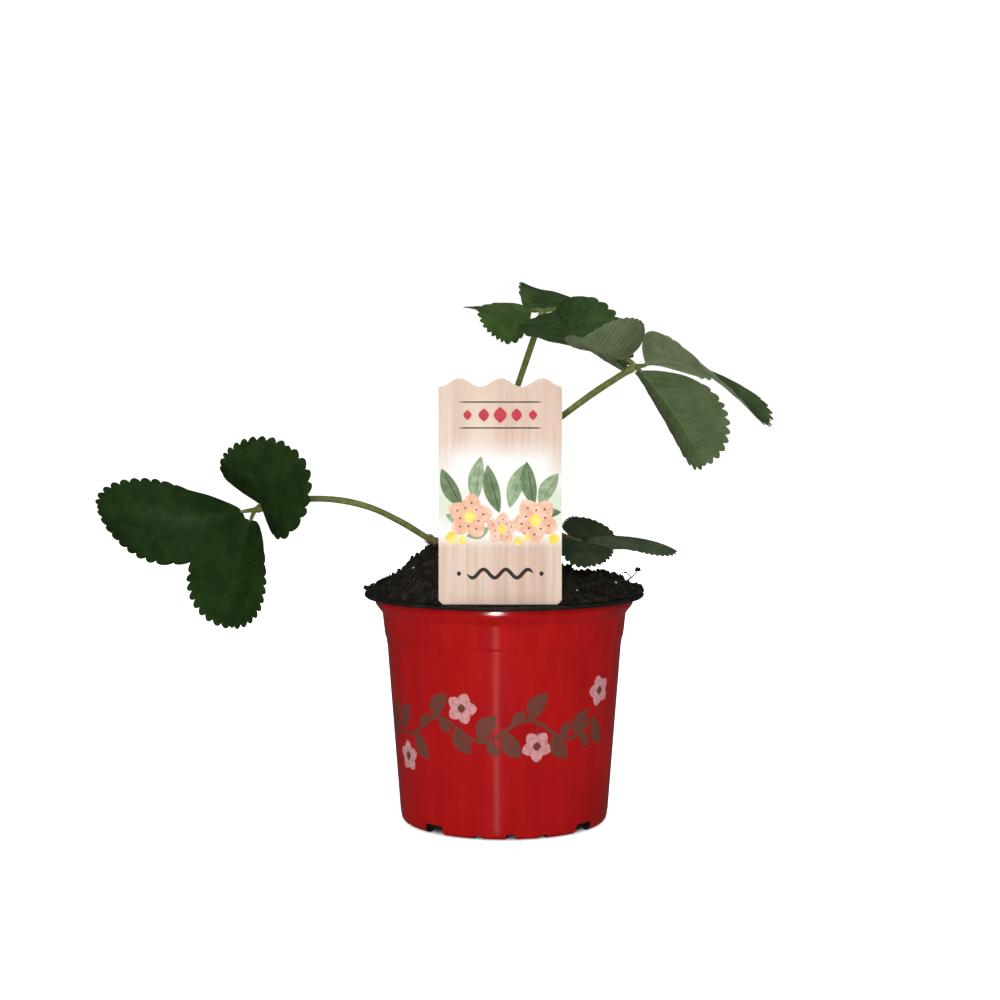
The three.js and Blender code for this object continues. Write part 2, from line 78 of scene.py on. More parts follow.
# Finer than in the solids
LEDGE = [(50.76, 79.5), (51.14, 80.1)]                         # the small step in the wall
BEAD = [(53.5, 91.6), (54.3, 92.5), (55.15, 93.7), (55.25, 94.3), (55.0, 95.8), (54.95, 96.2)]
POT_SIDES = 192
POT_CUT = 0.5                # how much of each corner of the pot is rounded off
POT_SHARP = 35               # edges sharper than this stay sharp, in degrees
PEAT_SIDES, PEAT_RINGS = 400, 88
CRUMBS, RIM_CRUMBS, FIBRES = 2000, 420, 520
BLADE = 0.34                 # thickness of a leaf blade
BLADE_EDGE = 0.16
ROWS = np.array([0.012, 0.03, 0.06, 0.1, 0.16, 0.23, 0.31, 0.39, 0.47, 0.55, 0.63, 0.71, 0.79, 0.86,
                 0.92, 0.965, 1.0])                            # places from the midrib to the margin
TOOTH_STEPS = [0, 0.04, 0.12, 0.24, 0.38, 0.5, 0.545, 0.58, 0.615, 0.67, 0.78, 0.88, 0.96]
WAVE_LENGTH, WAVE_HEIGHT = 13, 0.7
MIDDLE_VEIN = {"width": 0.55, "groove": 0.12, "keel": 0.38}
SIDE_KEEL = 0.14
STALK_STEPS, STALK_SIDES = 90, 14
PETIOLULE_STEPS, PETIOLULE_SIDES = 14, 10
HAIRS_PER_MM = 3.2
HAIR_R = 0.03

# half is the widths of the two halves, rise and curl (in degrees) lift and bend them, arch and sweep
# bow the midrib, twist turns the blade from its base to its tip, and heel draws a half back past the
# base. The side veins leave the midrib behind the place they end at, by veinLead, and tipLead more at
# the tip. round fills out the teeth, pleat is the height of the folds between the veins, and look
# names the greens: lighter and darker copies of one leaf green, painted light and painted shade that
# set how lit each leaflet looks.
LEAFLET = dict(
    widest=0.57, basePower=(1.2, 1.2), tipPower=0.85, teeth=10, toothDepth=1.8, toothStart=(0.38, 0.38),
    veinLead=0.8, tipLead=0.18, arch=0, sweep=0, rise=(0, 0), curl=(0, 0), twist=0, heel=(1, 1),
    round=0.55, pleat=0.16, look="dark")

LEAVES = [
    dict(
        name="a", hub=(-104.5, -18.5, 135),
        route=[(-20, -1, 112), (-23, -1, 118), (-30.5, -2, 120.5), (-43.5, -5, 128.5), (-56.5, -8, 135),
               (-70, -11, 138.5), (-85, -14, 139)],
        leaflets=[
            dict(name="left", base=(-110.5, -17.5, 134), tip=(-171.5, -17, 136), up=(0, -1, 0.15),
                 half=(20.5, 17), arch=8, sweep=-4, rise=(-15, 0), curl=(-5, -50), twist=-60, heel=(3, 1)),
            dict(name="lower", base=(-106, -24, 130.5), tip=(-111.5, -44, 88), up=(-0.05, -0.9, 0.4),
                 half=(16.5, 20.3), arch=1, sweep=1, rise=(30, 15), curl=(15, -5), twist=-30, heel=(1, 4)),
            dict(name="upper", base=(-101.9, -21.8, 137.6), tip=(-87.2, -48, 163), up=(-0.5, -0.65, -0.55),
                 half=(21.6, 22.3), arch=6, sweep=1, rise=(15, 20), curl=(0, 5), twist=15,
                 heel=(4.8, 4.5), toothStart=(0.38, 0.17)),
        ]),
    dict(
        name="b", hub=(17, 20, 219),
        route=[(-17, 2.5, 115), (-16, 3, 123), (-9, 8, 143), (0, 12, 169), (6, 15, 187), (12, 18, 204.5)],
        leaflets=[
            dict(name="left", base=(12, 17, 219.5), tip=(-12, -17, 219), up=(0.1, -0.3, 1), half=(13, 14),
                 arch=-2, sweep=-3, rise=(-50, 12), curl=(-15, -10), twist=30, widest=0.7,
                 basePower=(2.3, 1.2), tipPower=0.6, veinLead=0.3, heel=(0, 0), toothStart=(0.3, 0.3),
                 round=0.8, pleat=0.08, look="olive"),
            dict(name="far", base=(17, 24, 219.5), tip=(20, 64, 229.5), up=(0, -0.3, 0.95),
                 half=(17.5, 17), arch=2, sweep=5, rise=(-5, -10), curl=(30, -15), twist=30,
                 widest=0.6, heel=(3, 1), round=0.8, look="bright"),
            dict(name="near", base=(22.5, 18, 219.5), tip=(50, -25, 192.5), up=(-0.05, -0.55, 0.85),
                 half=(19, 25), arch=3, sweep=6, rise=(40, 30), curl=(-5, -15), twist=-60, widest=0.52,
                 tipPower=0.95, basePower=(2, 1.2), heel=(1, -1.5), round=0.8, toothStart=(0.38, 0.06),
                 look="bright"),
        ]),
    dict(
        name="c", hub=(53, -43.5, 195),
        route=[(-14, -2.5, 115), (-13, -3, 123), (-6, -10, 142), (6, -19, 160.5), (24, -30, 174.6),
               (37, -36, 184.4)],
        leaflets=[
            dict(name="near", base=(49.5, -46, 198), tip=(30, -80, 206), up=(0, 0.35, 0.94), half=(20, 14),
                 arch=-2, rise=(24, 30), curl=(12, -20), widest=0.59, toothDepth=0.6, heel=(0, 1),
                 round=0.8, pleat=0.05, look="bright"),
            dict(name="right", base=(57.5, -44.5, 195.6), tip=(104, -77, 173.5), up=(-0.02, -0.42, 0.9),
                 half=(13.5, 24), arch=13.3, sweep=8.1, rise=(-5, 36), curl=(-65, 22), twist=57,
                 widest=0.5, basePower=(1.7, 0.8), tipPower=0.9, veinLead=0.5, heel=(-3, -8), round=0.8,
                 pleat=0.08, look="light"),
            dict(name="hanging", base=(55.5, -42, 193), tip=(83, -32, 154), up=(0.3, 0.85, 0.45),
                 half=(15.5, 19.5), arch=5, sweep=-1, rise=(25, 5), curl=(40, 10), twist=-20, widest=0.59,
                 basePower=(1.4, 1.4), heel=(2, 0), round=0.7, pleat=0.08, look="shaded",
                 toothStart=(0.15, 0.38)),
        ]),
    dict(
        name="d", hub=(33.5, 19.5, 117.5),
        route=[(-13.5, 2, 114), (-12, 2.5, 121), (-3, 8, 126), (12, 14, 125), (24, 18, 121.5)],
        leaflets=[
            dict(name="far", base=(32.5, 24, 117.5), tip=(34.5, 55, 126.5), up=(0.15, -0.3, 0.95),
                 half=(12.5, 13), arch=-2, sweep=5, rise=(10, -5), twist=5, teeth=9, toothDepth=1.2,
                 look="dull"),
            dict(name="right", base=(37, 18, 117), tip=(76.5, 28.5, 113), up=(0.1, 0.05, 1),
                 half=(10.5, 12), arch=4, sweep=-5, rise=(10, -20), curl=(-20, -10), widest=0.6, teeth=9,
                 toothDepth=1.2, look="grey"),
            dict(name="near", base=(33.5, 14, 117), tip=(36, -17, 110.5), up=(0.05, -0.2, 1),
                 half=(12.5, 13), arch=5, sweep=1, rise=(0, 5), curl=(-15, 20), twist=25, teeth=9,
                 toothDepth=1.2, look="dull"),
        ]),
]


# Meshes
def to_mesh(name, points, faces, materials, pick=None, sharp=50):
    """A smooth mesh with sharp edges. pick says which material each face takes."""
    mesh = bpy.data.meshes.new(name)
    mesh.from_pydata((np.asarray(points, float) * MM).tolist(), [], [list(map(int, f)) for f in faces])
    for material in materials:
        mesh.materials.append(material)
    if pick is not None:
        mesh.polygons.foreach_set("material_index", np.asarray(pick, np.int32))
    mesh.polygons.foreach_set("use_smooth", np.ones(len(mesh.polygons), bool))
    mesh.set_sharp_from_angle(angle=math.radians(sharp))
    mesh.update()
    return mesh


def add_piece(mesh, slot, *nodes):
    piece = bpy.data.objects.new(mesh.name, mesh)
    bpy.context.scene.collection.objects.link(piece)
    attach(piece, "root")
    if nodes:
        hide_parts(*nodes)
    return piece


class Parts:
    """Collects points and faces of several closed shells for one mesh."""

    def __init__(self):
        self.points = []
        self.faces = []
        self.pick = []
        self.count = 0

    def add(self, points, faces, material=0):
        """material is one number, or a list with one for each face."""
        points = np.asarray(points, float)
        self.points.append(points)
        self.faces += [[i + self.count for i in face] for face in faces]
        self.pick += material if isinstance(material, list) else [material] * len(faces)
        self.count += len(points)

    def mesh(self, name, materials, sharp=50):
        return to_mesh(name, np.concatenate(self.points), self.faces, materials, self.pick, sharp)


def reworked(mesh, change):
    """The mesh after a change to its faces, with all of them turned outward."""
    work = bmesh.new()
    work.from_mesh(mesh)
    change(work)
    bmesh.ops.recalc_face_normals(work, faces=work.faces)
    work.to_mesh(mesh)
    work.free()
    return mesh


def unit(vectors):
    vectors = np.asarray(vectors, float)
    return vectors / np.maximum(np.linalg.norm(vectors, axis=-1, keepdims=True), 1e-9)


def even_turns(sides):
    return np.arange(sides) * TURN / sides


def circle(r, z, turns):
    return [(r * math.cos(t), r * math.sin(t), z) for t in turns]


def closed_faces(rings, count):
    """Faces between the rings, and one over each end."""
    faces = []
    last = (rings - 1) * count
    for low in range(0, last, count):
        for i in range(count):
            j = (i + 1) % count
            faces.append((low + i, low + j, low + count + j, low + count + i))
    return faces + [tuple(range(count))[::-1], tuple(range(last, last + count))]


def tube(centres, radii, sides):
    """A closed tube with flat ends round a line of centres."""
    centres = np.asarray(centres, float)
    ahead = unit(np.gradient(centres, axis=0))
    side = np.cross(ahead[0], (0.31, 0.22, 0.92))               # any direction off the line
    sides_at = []
    for direction in ahead:
        side = side - direction * side.dot(direction)
        side = side / np.linalg.norm(side)
        sides_at.append(side)
    sides_at = np.array(sides_at)
    up = np.cross(ahead, sides_at)
    turn = even_turns(sides)
    offset = np.cos(turn)[None, :, None] * sides_at[:, None] + np.sin(turn)[None, :, None] * up[:, None]
    rings = centres[:, None] + offset * np.asarray(radii, float)[:, None, None]
    return rings.reshape(-1, 3), closed_faces(len(centres), sides)


# Curves
def distance_along(line):
    return np.concatenate([[0], np.cumsum(np.linalg.norm(np.diff(line, axis=0), axis=1))])


def smooth_route(points, count):
    """A centripetal Catmull-Rom curve through the points, at even steps of its length."""
    knots = np.array(points, float)
    knots = np.vstack([2 * knots[0] - knots[1], knots, 2 * knots[-1] - knots[-2]])
    dense = []
    for i in range(1, len(knots) - 2):
        p0, p1, p2, p3 = knots[i - 1:i + 3]
        d0, d1, d2 = (math.sqrt(np.linalg.norm(b - a)) for a, b in ((p0, p1), (p1, p2), (p2, p3)))
        t1 = ((p1 - p0) / d0 - (p2 - p0) / (d0 + d1) + (p2 - p1) / d1) * d1
        t2 = ((p2 - p1) / d1 - (p3 - p1) / (d1 + d2) + (p3 - p2) / d2) * d1
        for t in np.arange(0, 1, 0.02):
            dense.append(p1 + t1 * t + (3 * (p2 - p1) - 2 * t1 - t2) * t ** 2
                         + (2 * (p1 - p2) + t1 + t2) * t ** 3)
    dense = np.array(dense + [knots[-2]])
    run = distance_along(dense)
    wanted = np.linspace(0, run[-1], count)
    return np.stack([np.interp(wanted, run, dense[:, k]) for k in range(3)], axis=1)


def bent(start, corner, end, t):
    """A place on the curve from start to end that is drawn toward the corner."""
    return (1 - t) ** 2 * start + 2 * t * (1 - t) * corner + t ** 2 * end


def rounded(profile, cut):
    """The profile with each inner corner replaced by a small curve."""
    line = [profile[0]]
    for before, corner, after in zip(profile, profile[1:], profile[2:]):
        corner = np.array(corner, float)
        back, on = np.array(before) - corner, np.array(after) - corner
        reach = min(cut, 0.35 * np.linalg.norm(back), 0.35 * np.linalg.norm(on))
        start = corner + unit(back) * reach
        end = corner + unit(on) * reach
        line += [tuple(bent(start, corner, end, t)) for t in (0, 0.5, 1)]
    return line + [profile[-1]]


# Materials
def put(tree, socket, value):
    if isinstance(value, bpy.types.NodeSocket):
        tree.links.new(value, socket)
    elif value is not None:
        plain = isinstance(value, tuple) and len(value) == 3 and socket.type == "RGBA"
        socket.default_value = (*value, 1) if plain else value


class Look:
    """A Principled material and short calls for the nodes that feed it. Sizes are in mm."""

    def __init__(self, name, roughness=0.5, specular=0.5):
        self.material = bpy.data.materials.new(name)
        self.material.use_nodes = True
        self.tree = self.material.node_tree
        self.shader = self.tree.nodes["Principled BSDF"]
        self.shader.inputs["Roughness"].default_value = roughness
        self.shader.inputs["Specular IOR Level"].default_value = specular
        self.place = self.node("ShaderNodeTexCoord").outputs["Object"]

    def node(self, kind, inputs=(), **settings):
        node = self.tree.nodes.new(kind)
        for key, value in settings.items():
            setattr(node, key, value)
        for key, value in dict(inputs).items():
            put(self.tree, node.inputs[key], value)
        return node

    def noise(self, size, detail=3.0, tall=1):
        """Noise that is stretched upward where tall is over 1."""
        scale = Vector(1 / (size * MM * s) for s in (1, 1, tall))
        mapping = self.node("ShaderNodeMapping", {"Vector": self.place, "Scale": scale})
        inputs = {"Vector": mapping.outputs[0], "Scale": 1.0, "Detail": detail, "Roughness": 0.55}
        return self.node("ShaderNodeTexNoise", inputs).outputs["Fac"]

    def cells(self, size, feature="F1"):
        inputs = {"Vector": self.place, "Scale": 1 / (size * MM)}
        return self.node("ShaderNodeTexVoronoi", inputs, feature=feature).outputs["Distance"]

    def ramp(self, value, low, high):
        """0 where the value is low, 1 where it is high, and smooth between."""
        inputs = {"Value": value, "From Min": low, "From Max": high}
        return self.node("ShaderNodeMapRange", inputs, interpolation_type="SMOOTHSTEP").outputs[0]

    def patches(self, size, detail=3.0, low=0.35, high=0.7, tall=1):
        return self.ramp(self.noise(size, detail, tall), low, high)

    def along(self, axis):
        return self.node("ShaderNodeSeparateXYZ", {"Vector": self.place}).outputs[axis]

    def by_height(self, none, full):
        """0 at the one height and 1 at the other."""
        return self.ramp(self.times(self.along("Z"), 1 / MM), none, full)

    def math(self, operation, a, b=None):
        node = self.node("ShaderNodeMath", operation=operation)
        put(self.tree, node.inputs[0], a)
        put(self.tree, node.inputs[1], b)
        return node.outputs[0]

    def times(self, a, b):
        return self.math("MULTIPLY", a, b)

    def mix(self, factor, a, b):
        node = self.node("ShaderNodeMix", data_type="RGBA")
        for socket, value in ((0, factor), (6, a), (7, b)):
            put(self.tree, node.inputs[socket], value)
        return node.outputs[2]

    def tint(self, base, colour, where, amount):
        return self.mix(self.times(where, amount), base, colour)

    def veined(self, base, colour, amount):
        vein = self.node("ShaderNodeAttribute", attribute_name="vein").outputs["Fac"]
        return self.tint(base, colour, vein, amount)

    def colour(self, value):
        put(self.tree, self.shader.inputs["Base Color"], value)

    def roughness(self, value, low, high):
        spread = self.node("ShaderNodeMapRange", {"Value": value, "To Min": low, "To Max": high})
        put(self.tree, self.shader.inputs["Roughness"], spread.outputs[0])

    def bump(self, height, depth, strength):
        inputs = {"Height": height, "Distance": depth * MM, "Strength": strength}
        put(self.tree, self.shader.inputs["Normal"], self.node("ShaderNodeBump", inputs).outputs[0])
        return self.material


def pot_red():
    look = Look("pot_red")
    red = look.mix(look.patches(5, 4, tall=14), (0.365, 0.0035, 0.004), (0.425, 0.0045, 0.005))
    red = look.mix(look.patches(30, 3, 0.45, 0.75), red, (0.33, 0.003, 0.0035))
    red = look.tint(red, (0.10, 0.01, 0.01), look.patches(1.6, 2, 0.70, 0.76), 0.5)
    smudge = look.times(look.patches(9, 4, 0.5, 0.75), look.by_height(84, 97))
    look.colour(look.tint(red, (0.09, 0.02, 0.015), smudge, 0.55))
    look.roughness(look.noise(12, 4), 0.12, 0.2)
    return look.bump(look.noise(7, 2, tall=6), 0.04, 0.3)


def pot_dark():
    look = Look("pot_dark", specular=0.4)
    look.colour(look.mix(look.patches(4, 5, 0.45), (0.007, 0.008, 0.006), (0.022, 0.021, 0.015)))
    look.roughness(look.noise(6, 3), 0.4, 0.7)
    return look.bump(look.noise(1.2, 3), 0.05, 0.5)


def ink(name, colour, other=None, size=1.5):
    look = Look("ink_" + name, roughness=0.4, specular=0.4)
    look.colour(look.mix(look.patches(size, 4, 0.4, 0.65), colour, other or tuple(0.8 * c for c in colour)))
    return look.material


def card_front():
    """Printed wood grain with plank seams, a pale field for the picture and a green haze on it."""
    look = Look("card_front", roughness=0.38, specular=0.4)
    plank_width = 8.3
    picture_low, picture_high = (121, 128), (168, 155)          # heights in mm, from none to full
    haze_low, haze_high = (127, 139), (151, 142)
    wood = look.mix(look.patches(1.5, 5, high=0.68, tall=26), (0.60, 0.415, 0.32), (0.695, 0.505, 0.405))
    wood = look.mix(look.patches(6, 3, 0.42, tall=22), wood, (0.725, 0.575, 0.48))
    # Painted shade: the wood is darker towards the top, to even out the stronger light the lamps give the
    # card's top
    wood = look.tint(wood, (0.61, 0.455, 0.355), look.by_height(165, 188), 0.55)
    across = look.along("X")
    plank = look.math("FRACT", look.times(across, 1 / (plank_width * MM)))
    seam = look.ramp(look.math("ABSOLUTE", look.math("SUBTRACT", plank, 0.5)), 0.485, 0.5)
    wood = look.mix(look.times(seam, look.times(look.by_height(121, 119), 0.55)), wood, (0.50, 0.33, 0.27))
    fade = look.times(look.by_height(*picture_high), look.by_height(*picture_low))
    aside = look.math("ABSOLUTE", look.math("SUBTRACT", across, CARD_MIDDLE * MM))
    border = look.times(look.ramp(aside, 0.016, 0.025), look.by_height(147, 157))
    fade = look.times(fade, look.math("SUBTRACT", 0.97, look.times(border, 0.6)))
    picture = look.mix(fade, wood, (0.845, 0.84, 0.81))
    haze = look.times(look.by_height(*haze_low), look.by_height(*haze_high))
    haze = look.times(haze, look.ramp(aside, 0.006, 0.022))
    look.colour(look.tint(picture, (0.50, 0.62, 0.36), haze, 0.55))
    return look.bump(look.noise(0.6, 2), 0.02, 0.25)


def card_plain():
    look = Look("card_plain", roughness=0.45, specular=0.4)
    look.colour(look.mix(look.noise(8, 3), (0.80, 0.77, 0.72), (0.86, 0.84, 0.80)))
    return look.bump(look.noise(0.5, 2), 0.02, 0.3)


def leaf_upper(name, dark, light, vein):
    look = Look("leaf_upper_" + name, specular=0.12)
    green = look.mix(look.patches(7, 4), dark, light)
    green = look.tint(green, light, look.ramp(look.cells(0.8), 0.25, 0.7), 0.25)
    look.colour(look.veined(green, vein, 0.3))
    look.roughness(look.noise(3, 3), 0.42, 0.62)
    return look.bump(look.cells(0.9), 0.10, 0.5)


def leaf_under(name, dark, light, vein):
    look = Look("leaf_under_" + name, specular=0.25)
    green = look.mix(look.patches(8, 4), dark, light)
    net = look.ramp(look.cells(0.8, "DISTANCE_TO_EDGE"), 0.12, 0.0)
    look.colour(look.veined(look.tint(green, vein, net, 0.3), vein, 0.28))
    look.roughness(look.noise(3, 3), 0.55, 0.75)
    return look.bump(net, 0.08, 0.5)


def stalk_green():
    look = Look("stalk_green", roughness=0.5, specular=0.35)
    green = look.mix(look.patches(3), (0.105, 0.135, 0.028), (0.17, 0.20, 0.05))
    low = look.times(look.by_height(138, 112), look.patches(5))
    look.colour(look.tint(green, (0.18, 0.09, 0.045), low, 0.6))
    return look.bump(look.noise(0.5, 3), 0.06, 0.5)


def plain_look(name, colour, roughness):
    look = Look(name, roughness=roughness, specular=0.3)
    look.colour(look.mix(look.patches(1, 3, 0.3), tuple(0.75 * c for c in colour), colour))
    return look.bump(look.noise(0.6, 3), 0.05, 0.5)


def peat(name, dark, light, fleck):
    look = Look(name, roughness=0.95, specular=0.12)
    brown = look.mix(look.patches(4, 5), dark, light)
    look.colour(look.tint(brown, fleck, look.patches(1.1, 3, 0.60, 0.72), 0.5))
    return look.bump(look.noise(0.7, 5), 0.35, 0.9)


def sheath_brown():
    look = Look("sheath_brown", roughness=0.6, specular=0.3)
    streak = look.noise(0.9, 4, tall=9)
    brown = look.mix(look.ramp(streak, 0.35, 0.65), (0.075, 0.05, 0.022), (0.15, 0.13, 0.055))
    look.colour(look.mix(look.by_height(118, 128), brown, (0.24, 0.22, 0.08)))
    return look.bump(streak, 0.12, 0.7)


# Pot
def pot_profile():
    """The outside from the axis to the lip, then the inside back to the axis."""
    inner, outer, high, slope = CHANNEL.values()
    under = [(0, 0), (inner, 0), (inner + slope, high), (outer, high), (outer + slope, 0)]
    turns = np.radians(np.linspace(-90, 0, 8))
    foot = [(FOOT_R - FOOT_FILLET * (1 - math.cos(t)), FOOT_FILLET * (1 + math.sin(t))) for t in turns]
    low = RIM_TOP - LIP
    wall = WALL_OUTSIDE[:2] + LEDGE + WALL_OUTSIDE[2:4] + BEAD + [(RIM_R - 4.2, low - 0.1)]
    lip = [(RIM_R - 0.6, low), (RIM_R, low + 0.6), (RIM_R, RIM_TOP - 0.5), (RIM_R - 0.5, RIM_TOP),
           (RIM_R - 5.6, RIM_TOP)]
    inside = [(r - WALL, z) for r, z in reversed(WALL_OUTSIDE)]
    floor = [(FOOT_R - WALL - 1.2, FLOOR), (outer + slope - 0.6, FLOOR), (outer - 0.6, high + FLOOR),
             (inner + slope + 0.6, high + FLOOR), (inner + 0.6, FLOOR), (0, FLOOR)]
    return rounded(under + foot + wall + lip[:1], POT_CUT), rounded(lip + inside + floor, POT_CUT)


def skin(rings):
    """Points and faces of a shell over rings of points. A ring of one point closes an end."""
    points, faces, numbers = [], [], []
    for ring in rings:
        numbers.append(range(len(points), len(points) + len(ring)))
        points += ring
    for low, high in zip(numbers, numbers[1:]):
        sides = max(len(low), len(high))
        for i in range(sides):
            j = (i + 1) % sides
            if len(low) == 1:
                faces.append((low[0], high[j], high[i]))
            elif len(high) == 1:
                faces.append((low[i], low[j], high[0]))
            else:
                faces.append((low[i], low[j], high[j], high[i]))
    return points, faces


def notch_cutter(materials):
    parts = Parts()
    corner = 0.7
    for step, width, height in NOTCHES:
        x, low = width / 2, height - corner
        outline = [(-x, -1), (x, -1), (x, low), (x - corner, height), (-x + corner, height), (-x, low)]
        for quarter in range(4):
            turn = math.radians(NOTCH_TURN + step + 90 * quarter)
            points = []
            for reach in (FOOT_R + 3, CHANNEL["outer"] + 0.5):
                for x, z in outline:
                    points.append((x * math.cos(turn) + reach * math.sin(turn),
                                   x * math.sin(turn) - reach * math.cos(turn), z))
            parts.add(points, [face[::-1] for face in closed_faces(2, len(outline))], 1)
    return bpy.data.objects.new("cutter", parts.mesh("cutter", materials))


def cut_with(piece, cutter):
    bpy.context.scene.collection.objects.link(cutter)
    change = piece.modifiers.new("cut", "BOOLEAN")
    change.operation = "DIFFERENCE"
    change.solver = "EXACT"
    change.object = cutter
    bpy.context.view_layer.update()
    whole = piece.evaluated_get(bpy.context.evaluated_depsgraph_get())
    cut = bpy.data.meshes.new_from_object(whole)
    piece.modifiers.clear()
    piece.data = cut
    bpy.data.objects.remove(cutter)
    cut.set_sharp_from_angle(angle=math.radians(POT_SHARP))


def make_pot(red, dark):
    outside, inside = pot_profile()
    turns = even_turns(POT_SIDES)
    points, faces = skin([circle(r, z, turns) if r else [(0, 0, z)] for r, z in outside + inside[1:]])
    edge = len(outside) - 2                 # the lip's underside is dark too
    pick = [0 if i // POT_SIDES < edge else 1 for i in range(len(faces))]
    mesh = to_mesh("pot_shell", points, faces, [red, dark], pick, POT_SHARP)
    cut_with(add_piece(mesh, "pot", "pot"), notch_cutter([red, dark]))


# Printed motifs: each is a strip of points in the flat, later laid on a surface as a thin film
def leaf_strip(x, y, length, width, angle, power=0.8, bend=0.0):
    """A leaf from the place x, y along the angle in degrees. A high power makes slim ends."""
    steps, across = 14, 4
    u = (1 - np.cos(np.linspace(0, math.pi, steps + 1))) / 2
    v = np.linspace(-0.5, 0.5, across + 1)
    half = width * np.sin(math.pi * u) ** power
    turn = math.radians(angle)
    ahead = np.array([math.cos(turn), math.sin(turn)])
    side = np.array([-ahead[1], ahead[0]])
    centre = np.array([x, y]) + np.outer(u * length, ahead) + np.outer(bend * np.sin(math.pi * u), side)
    return centre[:, None] + (half[:, None] * v[None])[:, :, None] * side


def disc(x, y, r):
    return leaf_strip(x - r, y, 2 * r, 2 * r, 0, 0.98)


def ribbon(line, width):
    """A band along the line that narrows to a point at both ends."""
    line = np.array(line, float)
    ahead = unit(np.gradient(line, axis=0))
    side = np.stack([-ahead[:, 1], ahead[:, 0]], axis=1)
    fade = np.sin(np.clip(np.linspace(0, 1, len(line)) * 12, 0, 1) * math.pi / 2)
    fade = np.minimum(fade, fade[::-1])
    v = np.linspace(-0.5, 0.5, 3)
    return line[:, None] + (width * fade[:, None] * v)[:, :, None] * side[:, None]


def blossom(x, y, r, turn, petal, heart):
    """Petals round a disc: petal and heart are the numbers of their materials."""
    petals = 5
    shapes = []
    for k in range(petals):
        shapes.append((petal, 0.25 * k, leaf_strip(x, y, r, 0.82 * r, turn + 360 * k / petals, 0.6)))
    return shapes + [(heart, 2, disc(x, y, 0.28 * r))]


def film(name, shapes, lay, materials, thick):
    """Thin closed films, layer on layer, from flat strips. lay(points, lift) puts them in place."""
    parts = Parts()
    for material, layer, strip in shapes:
        rows, wide = strip.shape[:2]
        flat = strip.reshape(-1, 2)
        count = rows * wide
        faces = []
        for i in range(rows - 1):
            for k in range(wide - 1):
                a, b = i * wide + k, (i + 1) * wide + k
                faces.append((a, b, b + 1, a + 1))
                faces.append((count + a, count + a + 1, count + b + 1, count + b))
            first, last = i * wide, i * wide + wide - 1
            faces.append((first, count + first, count + first + wide, first + wide))
            faces.append((last, last + wide, count + last + wide, count + last))
        for k in range(wide - 1):
            end = (rows - 1) * wide + k
            faces.append((k, k + 1, count + k + 1, count + k))
            faces.append((end, count + end, count + end + 1, end + 1))
        parts.add(np.vstack([lay(flat, thick * (1 + 0.6 * layer)), lay(flat, -thick)]), faces, material)

    def join(work):
        bmesh.ops.remove_doubles(work, verts=work.verts, dist=0.002 * MM)
        bmesh.ops.dissolve_degenerate(work, edges=work.edges, dist=0.001 * MM)

    return reworked(parts.mesh(name, materials), join)


def on_pot(points, lift):
    radii, heights = zip(*WALL_OUTSIDE)
    middle_r = 48
    place = []
    for a, z in points:
        r = float(np.interp(z, heights, radii)) + lift
        turn = a / middle_r
        place.append((r * math.sin(turn), -r * math.cos(turn), z))
    return np.array(place)


def on_card(points, lift):
    front = CARD["back"] - CARD["thick"] - lift
    return np.array([(x, front, z) for x, z in points])


def pot_print():
    """A garland of leaves and small blossoms round the front of the wall."""
    start, end, middle, swing, pitch = -68, 47, 46, 4.5, 38
    brown, rose = 0, 1

    def centre(a):
        return middle + swing * math.sin(TURN * a / pitch)

    shapes = [(brown, 0, ribbon([(a, centre(a)) for a in np.linspace(start, end, 150)], 1.5))]
    for k, a in enumerate(np.arange(start + 5, end - 3, 10.5)):
        side = 1 if k % 2 else -1
        shapes.append((brown, 1, leaf_strip(a, centre(a), 13, 7.4, side * 58, 0.75, side * 1.2)))
        if k % 3 != 1:
            shapes.append((brown, 2, leaf_strip(a + 3, centre(a + 3), 8, 4.6, -side * 50, 0.75)))
            continue
        a += 3.2
        high = centre(a) - side * 10
        stem = [(a - 0.4, centre(a)), (a, (centre(a) + high) / 2), (a, high)]
        shapes.append((brown, 0, ribbon(stem, 0.8)))
        shapes += blossom(a, high, 6.6, 18 * k, rose, brown)
    inks = [ink("brown", (0.135, 0.042, 0.026), (0.175, 0.036, 0.026)),
            ink("rose", (0.60, 0.30, 0.31), (0.50, 0.19, 0.20))]
    add_piece(film("pot_print", shapes, on_pot, inks, thick=0.05), "pot")


